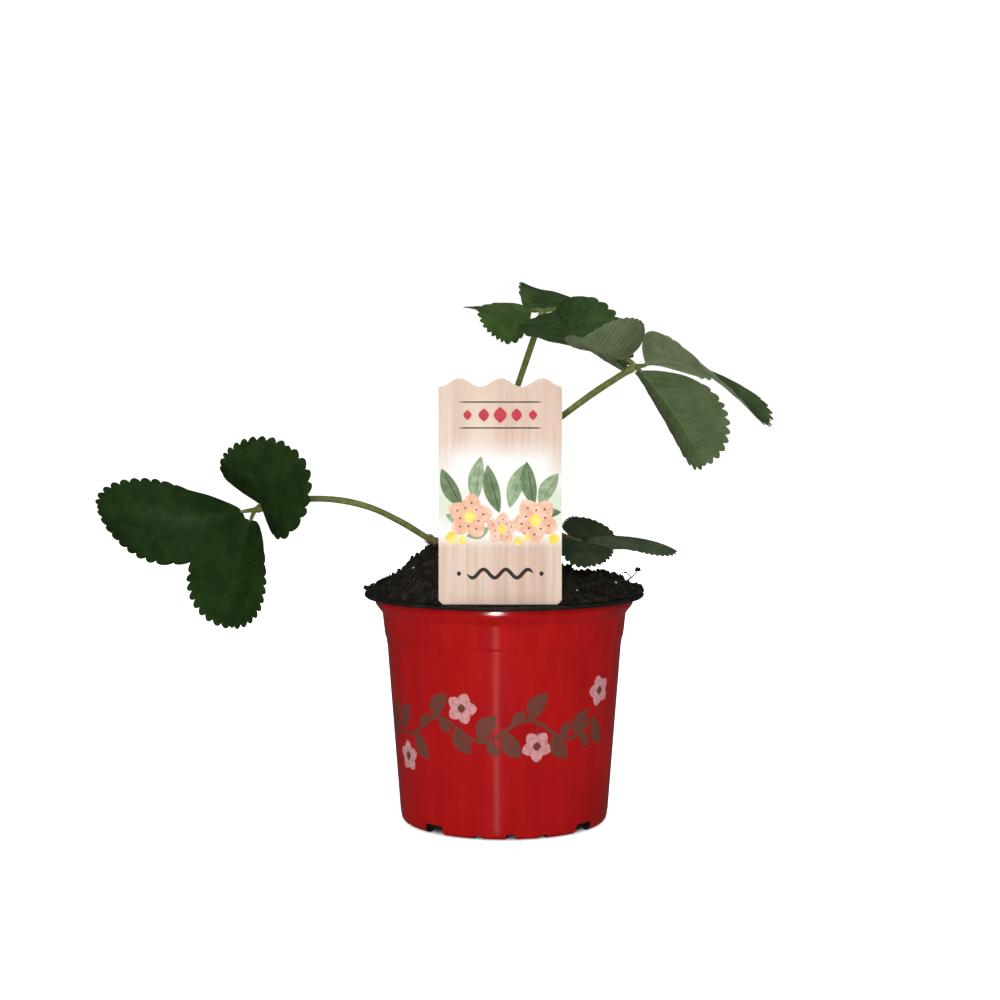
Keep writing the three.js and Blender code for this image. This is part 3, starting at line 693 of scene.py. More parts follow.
def card_print():
    """Generic blossoms and leaves in the picture's place, and plain ornaments above and below."""
    brown, red, green, pale_green, peach, yellow = range(6)
    middle, gem_z, wave_z, edge = CARD_MIDDLE, 175.5, 111.4, 9
    shapes = []
    for k, size in ((0, 6.6), (1, 5.4), (2, 4.2)):
        for x in {middle + 6.6 * k, middle - 6.6 * k}:
            shapes.append((red, 0, leaf_strip(x, gem_z - size / 2, size, 0.8 * size, 90, 1.0)))
    for z in (gem_z - 5.2, gem_z + 5.2):
        shapes.append((brown, 0, ribbon([(middle + x, z) for x in np.linspace(-17, 17, 40)], 0.55)))
    wave = [(middle + x, wave_z + 1.7 * math.sin(TURN * x / 9)) for x in np.linspace(-13.5, 13.5, 90)]
    shapes.append((brown, 0, ribbon(wave, 1.5)))
    for side in (-1, 1):
        shapes.append((brown, 0, disc(middle + 16.7 * side, wave_z, 1.0)))
    leaves = [(-15, 133, 9, 165), (-17, 138, 18, 118), (-12, 140, 19, 82), (-2, 136, 20, 104),
              (2, 138, 19, 70), (12, 139, 18, 100), (15, 139, 15, 60), (15, 134, 9, 15),
              (-6, 130, 10, 200), (6, 129, 9, -20)]
    for k, (x, z, length, angle) in enumerate(leaves):
        x = max(min(x, CARD["right"] - edge), CARD["left"] + edge)
        tone, rib = (green, brown) if k % 2 else (pale_green, green)
        width = min(0.42 * length, 6.4)
        shapes.append((tone, 0.3 * k, leaf_strip(x, z, length, width, angle, 0.8, 0.8)))
        shapes.append((rib, 0.3 * k + 0.15, leaf_strip(x, z, 0.9 * length, 0.35, angle)))
    for x, z, r, turn in ((-14, 134.5, 9.3, 10), (12.5, 133, 9.6, 50), (-1, 129.5, 6.6, 84)):
        for material, layer, strip in blossom(x, z, r, turn, peach, yellow):
            shapes.append((material, layer + 3.2, strip))
        for k in range(10):
            spot = math.radians(36 * k + turn)
            reach = 0.42 * r if k % 2 else 0.6 * r
            dot = disc(x + reach * math.cos(spot), z + reach * math.sin(spot), 0.045 * r)
            shapes.append((brown, 5.7, dot))
    for x, z, r in ((-21.5, 126, 2.6), (-17, 125, 2.0), (5.5, 124.7, 1.9), (20, 125.4, 2.4), (9, 126, 1.4)):
        shapes.append((yellow, 6, disc(x, z, r)))
    inks = [ink("dark", (0.025, 0.014, 0.010)), ink("red", (0.55, 0.012, 0.030)),
            ink("green", (0.10, 0.17, 0.07), (0.16, 0.25, 0.11), 3),
            ink("pale_green", (0.22, 0.32, 0.17), (0.34, 0.44, 0.27), 3),
            ink("peach", (0.78, 0.42, 0.27), (0.86, 0.58, 0.44), 4),
            ink("yellow", (0.85, 0.62, 0.06), (0.90, 0.74, 0.20), 3)]
    add_piece(film("card_print", shapes, on_card, inks, thick=0.02), "label")


# Card label
def card_outline():
    left, right, chamfer = (CARD[k] for k in ("left", "right", "chamfer"))
    crests, dip, corner = CARD_WAVE.values()
    low = RIM_TOP + GAP
    top = low + CARD["height"]
    pitch, steps = (right - left) / crests, 24
    line = [(left + chamfer, low), (right - chamfer, low), (right, low + chamfer), (right, top - dip - 0.8)]
    line.append((right - 0.3, top - dip))
    for i in range(2, steps * crests - 1):
        x = right - i * pitch / steps
        wave = 0.5 + 0.5 * math.cos((right - corner - x) / pitch * TURN)
        line.append((x, top - dip * (1 - wave)))
    return line + [(left + 0.3, top - dip), (left, top - dip - 0.8), (left, low + chamfer)]


def shrunk(line, inset):
    """The outline drawn in by a small inset along its corner normals."""
    points = np.array(line, float)
    ahead = unit(np.roll(points, -1, axis=0) - points)
    both = ahead + np.roll(ahead, 1, axis=0)
    return points + unit(np.stack([-both[:, 1], both[:, 0]], axis=1)) * inset


def make_card(front_look, plain):
    outline = card_outline()
    front, back = CARD["back"] - CARD["thick"], CARD["back"]
    inset = 0.12
    small = shrunk(outline, inset)
    rings = [(small, front), (outline, front + inset), (outline, back - inset), (small, back)]
    points = np.vstack([[(x, y, z) for x, z in line] for line, y in rings])
    count = len(outline)
    parts = Parts()
    parts.add(points, [face[::-1] for face in closed_faces(4, count)], [1] * (3 * count) + [0, 1])
    parts.add(*stake_shell(), 1)

    def split(work):
        bmesh.ops.triangulate(work, faces=[f for f in work.faces if len(f.verts) > 4])

    mesh = reworked(parts.mesh("card_label", [front_look, plain], 35), split)
    add_piece(mesh, "label", "label")


def stake_shell():
    """The stake below the card, bent back into the peat, down to its point."""
    half, point = STAKE["width"] / 2, STAKE["point"]
    turn_z = RIM_TOP + GAP
    low = RIM_TOP - STAKE["depth"]
    levels = [turn_z + 2, turn_z - 0.1] + list(np.linspace(turn_z, low + point, 8)[1:])
    levels += list(np.linspace(low + point, low, 6)[1:])
    points = []
    for z in levels:
        width = half * min(1, max((z - low) / point, 0.02))
        lean = max(turn_z - z, 0) * STAKE["slope"]
        inset = 0.1 if z > turn_z else 0
        front = inset - CARD["thick"]
        for x, y in ((-width, -inset), (width, -inset), (width, front), (-width, front)):
            points.append((CARD_MIDDLE + x, CARD["back"] + y + lean, z))
    return points, closed_faces(len(levels), 4)


# Peat
def heap_height(x, y):
    low = RIM_TOP + 0.8
    span = math.sqrt(max(HEAP_R ** 2 - x ** 2, 1))
    fall = max(1 - (y / span) ** 2, 0) ** 0.65
    inner = 1 - (x * x + y * y) / HEAP_R ** 2
    u, v = x / 4.5, y / 4.5
    rough = sum(map(math.sin, (1.7 * u + 0.9 * v, 2.9 * v - 1.3 * u + 1.1, 4.3 * u + 3.1 * v + 2.4))) / 3
    ridge = np.interp(x, *zip(*RIDGE))
    return low + (ridge - low) * fall + 0.9 * rough * min(inner * 4, 1)


def behind_card(x, y):
    return y < CARD["back"] + 0.8 and CARD["left"] - 1 < x < CARD["right"] + 1


def crumbly_height(x, y):
    """The heap with clods and crumbs, lower than the card where it passes under it."""
    inner = 1 - (x * x + y * y) / HEAP_R ** 2
    edge = min(max(inner, 0) * 7, 1)
    at = Vector((x, y, 0))
    clods = 1.7 * noise.noise(at / 6.5) + 1.3 * noise.noise(at / 2.9 + Vector((7, 3, 1)))
    crumbs = 1.2 * (0.45 - noise.voronoi(at / 2.3)[0][0]) + 0.5 * noise.noise(at / 1.1)
    z = heap_height(x, y) + edge * (clods + crumbs) - 0.25
    if behind_card(x, y):
        z = min(z, RIM_TOP + 0.25)
    return max(z, RIM_TOP + 0.05 + 0.3 * edge)


def make_peat(look):
    turns = even_turns(PEAT_SIDES)
    outer, high, slope = CHANNEL["outer"], CHANNEL["height"], CHANNEL["slope"]
    body = [(outer - 0.2, high + FLOOR + GAP), (outer + slope - 0.2, FLOOR + GAP),
            (FOOT_R - WALL - 1.7, FLOOR + GAP)]
    body += [(r - WALL - 0.05, z) for r, z in WALL_OUTSIDE] + [(RIM_R - 6.2, RIM_TOP + 0.02)]
    rings = [[(0, 0, high + FLOOR + GAP)]] + [circle(r, z, turns) for r, z in body]
    for r in HEAP_R * (1 - (np.arange(PEAT_RINGS) / PEAT_RINGS) ** 1.15):
        ring = []
        for x, y, _ in circle(r, 0, turns):
            wobble = 1 + 0.012 * noise.noise(Vector((x, y, 5)) / 5)
            ring.append((x * wobble, y * wobble, crumbly_height(x, y)))
        rings.append(ring)
    rings.append([(0, 0, crumbly_height(0, 0))])
    add_piece(to_mesh("peat_heap", *skin(rings), [look]), "soil", "soil")


def dented(rng, ball, size, least, spread):
    """The ball at this size, with each corner drawn in or out. size may differ along the axes."""
    return ball * size * (least + spread * rng.random((len(ball), 1)))


def crumb_shape():
    ball = bmesh.new()
    bmesh.ops.create_icosphere(ball, subdivisions=1, radius=1)
    points = np.array([v.co for v in ball.verts])
    faces = [[v.index for v in f.verts] for f in ball.faces]
    ball.free()
    return points, faces


def random_turn(rng):
    w, x, y, z = unit(rng.normal(size=4))
    return np.array([
        [1 - 2 * (y * y + z * z), 2 * (x * y - z * w), 2 * (x * z + y * w)],
        [2 * (x * y + z * w), 1 - 2 * (x * x + z * z), 2 * (y * z - x * w)],
        [2 * (x * z - y * w), 2 * (y * z + x * w), 1 - 2 * (x * x + y * y)],
    ])


def random_place(rng, reach):
    """A place on the peat within reach of the middle, and not behind the card."""
    while True:
        r = reach * math.sqrt(rng.random())
        t = TURN * rng.random()
        x, y = r * math.cos(t), r * math.sin(t)
        if not behind_card(x, y - 1.2):
            return x, y


def make_crumbs(looks):
    rng = np.random.default_rng(SEED)
    ball, faces = crumb_shape()
    parts = Parts()
    dark, light, grit = range(3)
    for i in range(CRUMBS):
        x, y = random_place(rng, HEAP_R + 0.8)
        size = 0.28 + 0.85 * rng.random() ** 2.5
        shape = dented(rng, ball, size * (0.7 + 0.6 * rng.random(3)), 0.75, 0.5) @ random_turn(rng).T
        z = crumbly_height(x, y) + 0.25 * size
        parts.add(shape + (x, y, z), faces, light if i % 9 == 0 else dark)
    for i in range(RIM_CRUMBS):
        turn = math.pi * (i % 2) + 0.75 * rng.normal()
        reach = HEAP_R - 2 + (RIM_R - HEAP_R + 1.5) * rng.random()
        size = 0.35 + 1.1 * rng.random() ** 2
        shape = dented(rng, ball, size * (0.6 + 0.6 * rng.random(3)), 0.7, 0.6)
        x, y = reach * math.cos(turn), reach * math.sin(turn)
        if not behind_card(x, y):
            parts.add(shape @ random_turn(rng).T + (x, y, RIM_TOP + (0.3 + 0.9 * rng.random()) * size), faces)
    for x, y, size in ((46.9, -20, 0.75), (-38, -22, 0.5), (30, -38, 0.45), (-20, 30, 0.7), (12, 40, 0.6),
                       (38, 12, 0.5), (-44, 8, 0.6)):
        place = (x, y, crumbly_height(x, y) + 0.4 * size)
        parts.add(dented(rng, ball, size, 0.75, 0.4) + place, faces, grit)
    add_piece(parts.mesh("peat_crumbs", looks, 70), "soil")


def make_fibres(looks):
    """Root and moss fibres that lie on the peat and stand out of it here and there."""
    rng = np.random.default_rng(SEED + 1)
    parts = Parts()
    pale, brown, dark = range(3)
    edge = RIM_R - 0.9
    for i in range(FIBRES):
        x, y = random_place(rng, HEAP_R + 1.2)
        length = 2.5 + 6.5 * rng.random() ** 2
        heading = TURN * rng.random()
        lift = 0.15 + (0.9 if i % 4 == 0 else 0.25) * rng.random()
        bend = rng.normal(0, 0.5)
        line = []
        for t in np.linspace(0, 1, 7):
            step = length * t
            turn = heading + bend * t
            px = x + step * math.cos(turn) * 0.8
            py = y + step * math.sin(turn) * 0.8
            reach = math.hypot(px, py)
            if reach > edge:
                px, py = px * edge / reach, py * edge / reach
            if behind_card(px, py):
                py = CARD["back"] + 0.8
            line.append((px, py, crumbly_height(px, py) - 0.2 + lift * length * math.sin(1.9 * t) * 0.55))
        radius = 0.07 + 0.11 * rng.random()
        radii = radius * np.array([1, 1, 0.9, 0.85, 0.7, 0.5, 0.25])
        parts.add(*tube(line, radii, 5), brown if i % 3 == 0 else pale)
    for line, radius in (([(50, -8, 101), (53, -8.5, 104.4), (55.4, -9, 106.6), (57, -9, 108.8)], 0.42),
                         ([(54, -8.7, 105.2), (52.4, -8, 107.2), (50.6, -8.2, 107.6), (49.2, -8, 106)], 0.28),
                         ([(56.5, -6, 100), (58, -6, 101.4), (58.8, -6, 101.2), (59.5, -5.5, 99.8)], 0.26),
                         ([(-57, -8, 100), (-58.6, -8.4, 100.6), (-59.2, -8, 99.9)], 0.35)):
        parts.add(*tube(smooth_route(line, 12), radius * np.linspace(1, 0.55, 12), 6), dark)
    ball, faces = crumb_shape()
    for place, size in (((57, -9, 108.9), 1.35), ((49.2, -8, 105.9), 0.8), ((51.5, -8.1, 107.4), 0.6)):
        parts.add(dented(rng, ball, size, 0.7, 0.6) + place, faces, dark)
    add_piece(parts.mesh("peat_fibres", looks, 80), "soil")


# Leaflets
class Leaflet:
    """The form of one leaflet's solid, for as many points as wanted. Leaf C near has lower teeth."""

    def __init__(self, spec):
        for key, value in {**LEAFLET, **spec}.items():
            setattr(self, key, value)
        self.base = np.array(self.base, float)
        self.chord = np.array(self.tip, float) - self.base
        self.length = np.linalg.norm(self.chord)
        ahead = self.chord / self.length
        up = np.array(self.up, float)
        self.up = unit(up - ahead * up.dot(ahead))
        self.side = np.cross(ahead, self.up)

    def midrib(self, along):
        along = np.asarray(along, float)[..., None]
        bow = 4 * along * (1 - along)
        slope = 4 - 8 * along
        point = self.base + self.chord * along + self.up * self.arch * bow + self.side * self.sweep * bow
        ahead = unit(self.chord + self.up * self.arch * slope + self.side * self.sweep * slope)
        flat_up = unit(self.up - ahead * (ahead @ self.up)[..., None])
        flat_side = np.cross(ahead, flat_up)
        turn = np.radians(self.twist) * (along - 0.5)
        normal = flat_up * np.cos(turn) + flat_side * np.sin(turn)
        across = flat_side * np.cos(turn) - flat_up * np.sin(turn)
        return point, ahead, normal, across

    def margin(self, s, half):
        """Where the mean outline is at s: how far along, how far out, and along without the heel."""
        angle = math.pi * (np.asarray(s, float) - 0.5)
        short = angle < 0
        plain = self.widest + np.where(short, self.widest, 1 - self.widest) * np.sin(angle)
        power = np.where(short, self.basePower[half], self.tipPower)
        out = self.half[half] * np.maximum(np.cos(angle), 1e-9) ** power
        back = np.where(short, self.heel[half] / self.length * np.sin(-2 * angle), 0)
        return plain - back, out, plain

    def tooth_push(self, s, half):
        """Height of the rounded teeth above the mean outline, in tooth depths."""
        start = self.toothStart[half]
        x = (s - start) * self.teeth / (1 - start)
        i = np.floor(x)
        u = x - i
        u = np.where(i >= self.teeth - 1, np.clip(u / 0.8, 0, 1), u)
        crest = np.abs(np.sin(math.pi * np.clip(u, 0, 1) ** 1.27)) ** self.round
        push = (-0.65 + crest) * np.clip(0.4 + 0.3 * i, 0, 1)
        end = np.clip((x - (self.teeth - 0.2)) / 0.2, 0, 1)
        push = np.where(end > 0, -0.65 * (1 - np.sin(end * math.pi / 2) ** 0.7), push)
        lead = np.clip((s - (start - 0.1)) / 0.1, 0, 1)
        return np.where(x < 0, -0.26 * lead, push)

    def toothed(self, s, half):
        along, out, _ = self.margin(s, half)
        before = self.margin(np.maximum(s - 1e-3, 0), half)
        after = self.margin(np.minimum(s + 1e-3, 1), half)
        run = (after[0] - before[0]) * self.length
        climb = after[1] - before[1]
        size = np.maximum(np.hypot(run, climb), 1e-9)
        shift = self.tooth_push(s, half) * self.toothDepth
        along = along + (0.25 * run - climb) / size * shift / self.length
        return along, np.maximum(out + run / size * shift, 0.02)

    def vein_start(self, s):
        """Where the side veins that end at the two margins' places s leave the midrib."""
        plain = sum(self.margin(s[half], half)[2] for half in (0, 1)) / 2
        return plain - self.veinLead * plain * (1 - plain) - self.tipLead * plain ** 4

    def surface(self, s, half, start):
        """Points from the midrib to the margin, and how far out each is."""
        along, out = (v[:, None] for v in self.toothed(s, half))
        start = start[:, None]
        point, _, normal, across = self.midrib(start + (along - start) * ROWS[None])
        reach = out * ROWS[None]
        rise = math.radians(self.rise[half])
        bend = math.radians(self.curl[half]) / self.half[half]
        if abs(bend) < 1e-6:
            wide, lift = reach * math.cos(rise), reach * math.sin(rise)
        else:
            wide = (np.sin(rise + bend * reach) - math.sin(rise)) / bend
            lift = (math.cos(rise) - np.cos(rise + bend * reach)) / bend
        sign = -1 if half == 0 else 1
        return point + across * (sign * wide)[..., None] + normal * lift[..., None], reach

    def tooth_pitch(self, half):
        return (1 - self.toothStart[half]) / self.teeth

    def vein_phase(self, s, half):
        """Whole numbers on the side veins: one runs to each tooth, and a few to the plain margin."""
        pitch = self.tooth_pitch(half)
        first = self.toothStart[half] + 0.58 * pitch
        below = max(round(first / 0.1), 1)
        return np.interp(s, [0, first, 1], [-below, 0, (1 - first) / pitch])

    def stations(self, half):
        """Places along a half's margin: denser where the teeth turn."""
        start, pitch = self.toothStart[half], self.tooth_pitch(half)
        teeth = [start + (i + u) * pitch for i in range(self.teeth) for u in TOOTH_STEPS]
        return np.array([*np.linspace(0.012, start - 0.01, 22), *teeth[:-1]])


def make_leaflet(spec, leaf_name, looks):
    leaf = Leaflet(spec)
    s = [leaf.stations(half) for half in (0, 1)]
    start = leaf.vein_start(s)
    left, reach_left = leaf.surface(s[0], 0, start)
    right, reach_right = leaf.surface(s[1], 1, start)
    spine = leaf.midrib(start)[0][:, None]
    grid = np.concatenate([left[:, ::-1], spine, right], axis=1)
    reach = np.concatenate([-reach_left[:, ::-1], np.zeros((len(start), 1)), reach_right], axis=1)
    row = np.concatenate([ROWS[::-1], [0], ROWS])[None]
    normal = unit(np.cross(np.gradient(grid, axis=1), np.gradient(grid, axis=0)))

    phase = [leaf.vein_phase(s[half], half)[:, None] for half in (0, 1)]
    away = [np.abs(p - np.round(p)) for p in phase]
    away = np.where(reach < 0, away[0], away[1])
    body = np.sin(math.pi * row ** 0.85) ** 0.7 * 0.85 + 0.15 * row
    pleat = leaf.pleat * np.sin(math.pi * away) ** 0.75 * body
    seed = Vector((float(sum(map(ord, leaf_name + leaf.name))), 0, 0))
    wave = np.array([[noise.noise(Vector(p) / WAVE_LENGTH + seed) for p in line] for line in grid])
    lift = pleat + WAVE_HEIGHT * wave * row ** 2
    side_vein = np.exp(-((away * 4.4) / 0.30) ** 2) * np.clip(1.15 - row, 0.1, 1) * (row > 0)
    middle_vein = np.exp(-(np.abs(reach) / MIDDLE_VEIN["width"]) ** 2) * (1 - 0.6 * start[:, None])
    vein = np.clip(np.maximum(side_vein, middle_vein), 0, 1).ravel()
    thick = BLADE_EDGE + (BLADE - BLADE_EDGE) * np.clip((1 - row) / 0.12, 0, 1)
    groove, keel = MIDDLE_VEIN["groove"] * middle_vein, MIDDLE_VEIN["keel"] * middle_vein
    top = grid + normal * (lift + thick / 2 - groove)[..., None]
    bottom = grid + normal * (lift - thick / 2 - keel - SIDE_KEEL * side_vein)[..., None]

    points = [top.reshape(-1, 3), bottom.reshape(-1, 3)]
    for end, half_thick in ((0.0, 0.35), (1.0, 0.1)):
        point, _, up, _ = leaf.midrib(end)
        points.append([point + up * half_thick * 0.5, point - up * half_thick])
    node = f"leaf_{leaf_name}_{leaf.name}"
    points = np.clip(np.vstack(points), *(np.array(corner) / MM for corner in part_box(node)))
    faces, pick = blade_faces(*grid.shape[:2])
    mesh = to_mesh(f"blade_{leaf_name}_{leaf.name}", points, faces, looks, pick, 60)
    values = np.concatenate([vein, vein, [0.9, 0.9, 0.2, 0.2]]).astype(np.float32)
    mesh.attributes.new("vein", "FLOAT", "POINT").data.foreach_set("value", values)
    add_piece(mesh, "leaf", node)


def blade_faces(columns, wide):
    """Upper and lower faces and the edge between them, with which of two materials each takes."""
    count = columns * wide
    last = count - wide
    base_top, base_low, tip_top, tip_low = range(2 * count, 2 * count + 4)
    faces, pick = [], []

    def face(material, *corners):
        faces.append(corners)
        pick.append(material)

    for k in range(wide - 1):
        face(0, base_top, k + 1, k)
        face(1, base_low, count + k, count + k + 1)
        for c in range(columns - 1):
            a, b = c * wide + k, (c + 1) * wide + k
            face(0, a, a + 1, b + 1, b)
            face(1, count + a, count + b, count + b + 1, count + a + 1)
        face(0, tip_top, last + k, last + k + 1)
        face(1, tip_low, count + last + k + 1, count + last + k)
    for border, flip in ((0, False), (wide - 1, True)):
        line = [base_top] + [c * wide + border for c in range(columns)] + [tip_top]
        under = [base_low] + [count + c * wide + border for c in range(columns)] + [tip_low]
        for i in range(len(line) - 1):
            corners = (line[i], line[i + 1], under[i + 1], under[i])
            face(1, *(corners[::-1] if flip else corners))
    return faces, pick


# Stalks and crown
def hair(parts, root, direction, length):
    """A thin three-sided point in the second material."""
    direction = unit(direction)
    side = unit(np.cross(direction, (0.3, 0.5, 0.81)))
    other = np.cross(direction, side)
    turns = (0, TURN / 3, 2 * TURN / 3)
    corners = [root + HAIR_R * (math.cos(t) * side + math.sin(t) * other) for t in turns]
    parts.add(corners + [root + direction * length], [(0, 2, 1), (0, 1, 3), (1, 2, 3), (2, 0, 3)], 1)


def make_stalk(leaf, looks):
    rng = np.random.default_rng(SEED + ord(leaf["name"]))
    centres = smooth_route(leaf["route"] + [leaf["hub"]], STALK_STEPS)
    t = np.linspace(0, 1, len(centres))
    radii = STALK["r"] + (STALK["base"] - STALK["r"]) * np.maximum(1 - 5 * t, 0)
    radii = radii * (1 + 0.03 * np.sin(23 * t + 1))
    radii[-4:] *= (1.1, 1.25, 1.3, 1.0)
    hub = np.array(leaf["hub"], float)
    lines = [(centres, radii, STALK_SIDES)]
    for spec in leaf["leaflets"]:
        point, ahead, _, _ = Leaflet(spec).midrib(0.0)
        elbow = point - ahead * 0.5 * np.linalg.norm(point - hub)
        u = np.linspace(0, 1, PETIOLULE_STEPS)[:, None]
        thick = np.interp(u[:, 0], [0, 0.8, 1], [PETIOLULE["r"], PETIOLULE["end"] + 0.12, 0.3])
        lines.append((bent(hub, elbow, point + ahead * 0.8, u), thick, PETIOLULE_SIDES))
    parts = Parts()
    for line, thick, sides in lines:
        parts.add(*tube(line, thick, sides))
    for line, thick, _ in lines:
        for _ in range(int(distance_along(line)[-1] * HAIRS_PER_MM)):
            at = rng.random() * (len(line) - 1)
            i = min(int(at), len(line) - 2)
            centre = line[i] + (line[i + 1] - line[i]) * (at - i)
            direction = unit(line[i + 1] - line[i])
            out = rng.normal(size=3)
            out = unit(out - direction * out.dot(direction))
            root = centre + out * (thick[i] * 0.92)
            hair(parts, root, out + 0.25 * rng.normal(size=3), 0.6 + 0.7 * rng.random())
    mesh = parts.mesh("hairy_stalk_" + leaf["name"], looks, 60)
    add_piece(mesh, "stalk", "stalk_" + leaf["name"])


def make_crown(looks):
    """The rhizome's top, wrapped in the papery sheaths at the foot of each stalk."""
    parts = Parts()
    swell = [(0, 0.35), (0.15, 0.6), (0.4, 0.8), (0.7, 1), (0.9, 0.85), (1, 0.45)]
    sides, rings = 48, 30
    sheath = 17
    points = []
    for rise in np.linspace(0, 1, rings):
        size = np.interp(rise, *zip(*swell))
        for k in range(sides):
            turn = k / sides * TURN
            rough = 0.05 * noise.noise(Vector((math.cos(turn) * 3, math.sin(turn) * 3, rise * 2)))
            radius = CROWN["r"] * size * (0.97 + 0.1 * math.cos(5 * turn + 2 * rise) + rough)
            points.append((CROWN["x"] + radius * math.cos(turn), CROWN["y"] + radius * math.sin(turn),
                           CROWN["bottom"] + (CROWN["top"] - CROWN["bottom"]) * rise))
    parts.add(points, closed_faces(rings, sides))
    for leaf in LEAVES:
        centres = smooth_route(leaf["route"] + [leaf["hub"]], 120)
        line = centres[distance_along(centres) < sheath]
        t = np.linspace(0, 1, len(line))
        parts.add(*tube(line, np.interp(t, [0, 0.5, 0.85, 1], [2.9, 2.4, 1.9, 1.5]), 12))
        direction = unit(line[-1] - line[-3])
        side = unit(np.cross(direction, (0.2, 1, 0.1)))
        for sign in (-1, 1):
            start = line[-3] + side * sign * 1.2
            tip = start + direction * 3 + side * sign * 0.3
            u = np.linspace(0, 1, 8)[:, None]
            curve = start + (tip - start) * u + side * sign * 0.5 * np.sin(math.pi * u)
            parts.add(*tube(curve, np.interp(u[:, 0], [0, 0.3, 1], [0.55, 0.6, 0.08]), 6))
    add_piece(parts.mesh("leafy_crown", looks, 60), "crown", "crown")


# Stage, light and camera
def make_stage():
    """A wide pale floor under the plant, which glows white away from it."""
    look = Look("floor", roughness=0.7, specular=0.2)
    look.colour((0.92, 0.92, 0.92))
    away = look.node("ShaderNodeVectorMath", {0: look.place}, operation="LENGTH").outputs["Value"]
    seen = look.node("ShaderNodeLightPath").outputs["Is Camera Ray"]
    dark, glowing = 0.037, 0.047
    glow = look.times(look.ramp(away, dark, glowing), seen)
    put(look.tree, look.shader.inputs["Emission Color"], (1, 1, 1))
    put(look.tree, look.shader.inputs["Emission Strength"], glow)
    size, drop = 6000, 0.4
    corners = [(-size, -size, 0), (size, -size, 0), (size, size, 0), (-size, size, 0)]
    floor = bpy.data.objects.new("floor", to_mesh("floor", corners, [(0, 1, 2, 3)], [look.material]))
    floor.location.z = -drop * MM
    floor.visible_glossy = False
    floor.visible_shadow = False
    bpy.context.scene.collection.objects.link(floor)


def make_world():
    """White behind the plant, a soft fill on matt surfaces, and less of it in reflections."""
    world = bpy.data.worlds.new("studio")
    bpy.context.scene.world = world
    world.use_nodes = True
    tree = world.node_tree
    path = tree.nodes.new("ShaderNodeLightPath")

    def sky(colour, strength):
        node = tree.nodes.new("ShaderNodeBackground")
        put(tree, node.inputs["Color"], colour)
        put(tree, node.inputs["Strength"], strength)
        return node.outputs[0]

    def choose(ray, other, chosen):
        node = tree.nodes.new("ShaderNodeMixShader")
        for socket, value in zip(node.inputs, (path.outputs[ray], other, chosen)):
            put(tree, socket, value)
        return node.outputs[0]

    lit = choose("Is Glossy Ray", sky((0.95, 0.97, 1.0), 0.22), sky((0.8, 0.8, 0.8), 0.06))
    seen = choose("Is Camera Ray", lit, sky((1, 1, 1), 1.05))
    put(tree, tree.nodes["World Output"].inputs["Surface"], seen)


def add_light(name, place, target, width, height, watts, gloss=False):
    """A rectangular lamp that lights either matt colour or gloss, never both."""
    light = bpy.data.lights.new(name, "AREA")
    light.shape = "RECTANGLE"
    light.size = width
    light.size_y = height
    light.energy = watts
    lamp = bpy.data.objects.new(name, light)
    lamp.location = place
    lamp.rotation_euler = (Vector(target) - Vector(place)).to_track_quat("-Z", "Y").to_euler()
    lamp.visible_camera = False
    lamp.visible_glossy = gloss
    lamp.visible_diffuse = not gloss
    bpy.context.scene.collection.objects.link(lamp)


def make_lights():
    centre = (0, 0, 0.11)
    add_light("flash", (-0.11, -0.95, 0.26), centre, 0.10, 0.30, 4.2)
    add_light("front", (0.1, -1.3, 0.9), centre, 1.2, 0.8, 6)
    add_light("top", (0.0, 0.1, 1.5), (0, 0, 0), 1.6, 1.6, 6.5)
    add_light("back", (0.1, 1.3, 0.35), centre, 1.2, 0.6, 5)
    for side in (-1, 1):
        add_light("side", (1.2 * side, 0.15, 0.3), centre, 0.6, 0.6, 2)
    add_light("strip", (-0.125, -0.9, -0.075), (0, 0, 0.05), 0.05, 0.85, 0.26, True)
    add_light("spark", (-0.12, -0.9, 0.258), (0, 0, 0.095), 0.16, 0.06, 1.8, True)


def make_camera():
    """The photograph's view: a long lens at the height of the upper leaves, tipped slightly down."""
    down = 0.0639
    camera = bpy.data.cameras.new("camera")
    camera.lens = 75
    camera.sensor_width = 36
    viewer = bpy.data.objects.new("camera", camera)
    viewer.location = (-0.00179, -0.8917, 0.1949)
    viewer.rotation_euler = (math.pi / 2 - down, 0, 0)
    bpy.context.scene.collection.objects.link(viewer)
    bpy.context.scene.camera = viewer


bpy.context.scene.view_settings.view_transform = "Standard"
make_camera()
make_world()
make_lights()
make_stage()

make_pot(pot_red(), pot_dark())
pot_print()
make_card(card_front(), card_plain())
card_print()

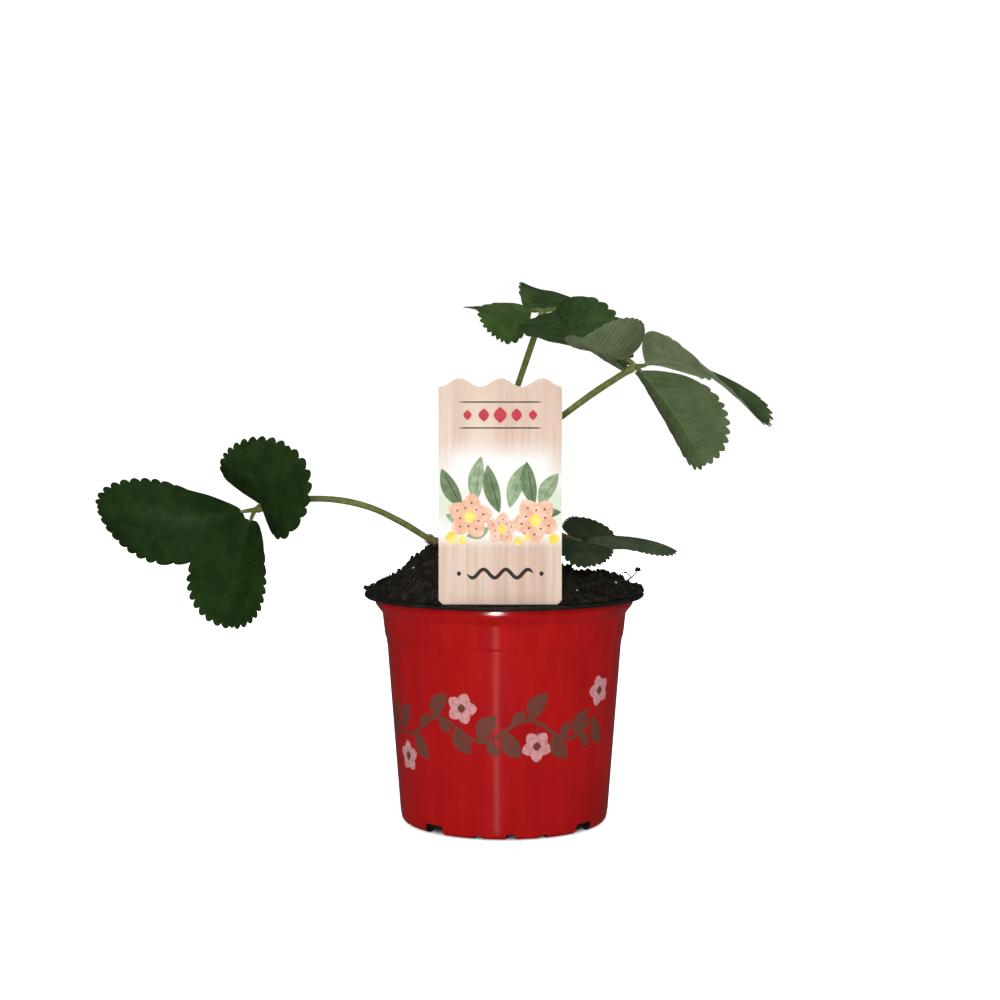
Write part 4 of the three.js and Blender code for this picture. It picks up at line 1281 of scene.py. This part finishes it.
PEAT = peat("peat", (0.0075, 0.0068, 0.005), (0.024, 0.020, 0.0135), (0.055, 0.042, 0.025))
PEAT_LIGHT = peat("peat_light", (0.024, 0.019, 0.012), (0.055, 0.043, 0.027), (0.085, 0.066, 0.040))
make_peat(PEAT)
make_crumbs([PEAT, PEAT_LIGHT, plain_look("grit", (0.55, 0.52, 0.47), 0.8)])
make_fibres([PEAT_LIGHT, plain_look("fibre", (0.07, 0.056, 0.036), 0.8), PEAT])

# The greens of the upper sides: dark patches, light patches and veins. Each look is a lighter or darker
# copy of one leaf green, painted light and painted shade that set how lit each leaflet looks
UPPER_GREENS = {
    "dark": ((0.0085, 0.022, 0.0036), (0.015, 0.038, 0.0066), (0.026, 0.056, 0.013)),
    "bright": ((0.026, 0.052, 0.015), (0.048, 0.088, 0.027), (0.08, 0.125, 0.04)),
    "olive": ((0.042, 0.078, 0.018), (0.070, 0.124, 0.031), (0.10, 0.155, 0.045)),
    "light": ((0.034, 0.060, 0.020), (0.060, 0.096, 0.034), (0.09, 0.13, 0.05)),
    "shaded": ((0.016, 0.036, 0.010), (0.030, 0.062, 0.018), (0.06, 0.10, 0.03)),
    "dull": ((0.020, 0.036, 0.0145), (0.037, 0.056, 0.024), (0.055, 0.075, 0.034)),
    "grey": ((0.040, 0.062, 0.032), (0.080, 0.105, 0.058), (0.10, 0.125, 0.07)),
}
# The undersides: one pale green, and lighter ("light") and darker ("shaded") copies of it, painted light and
# painted shade that set how lit a leaflet looks
PALE_UNDER = leaf_under("pale", (0.105, 0.140, 0.068), (0.140, 0.182, 0.092), (0.18, 0.23, 0.08))
OTHER_UNDER = {
    "light": leaf_under("light", (0.150, 0.195, 0.100), (0.200, 0.255, 0.135), (0.24, 0.30, 0.13)),
    "shaded": leaf_under("shaded", (0.066, 0.098, 0.038), (0.090, 0.130, 0.055), (0.13, 0.18, 0.05)),
}
LEAF_LOOKS = {name: [leaf_upper(name, *greens), OTHER_UNDER.get(name, PALE_UNDER)]
              for name, greens in UPPER_GREENS.items()}
STALK_LOOKS = [stalk_green(), plain_look("hair", (0.55, 0.58, 0.42), 0.5)]
make_crown([sheath_brown()])
for plant_leaf in LEAVES:
    make_stalk(plant_leaf, STALK_LOOKS)
    for leaflet_spec in plant_leaf["leaflets"]:
        make_leaflet(leaflet_spec, plant_leaf["name"], LEAF_LOOKS[leaflet_spec.get("look", LEAFLET["look"])])
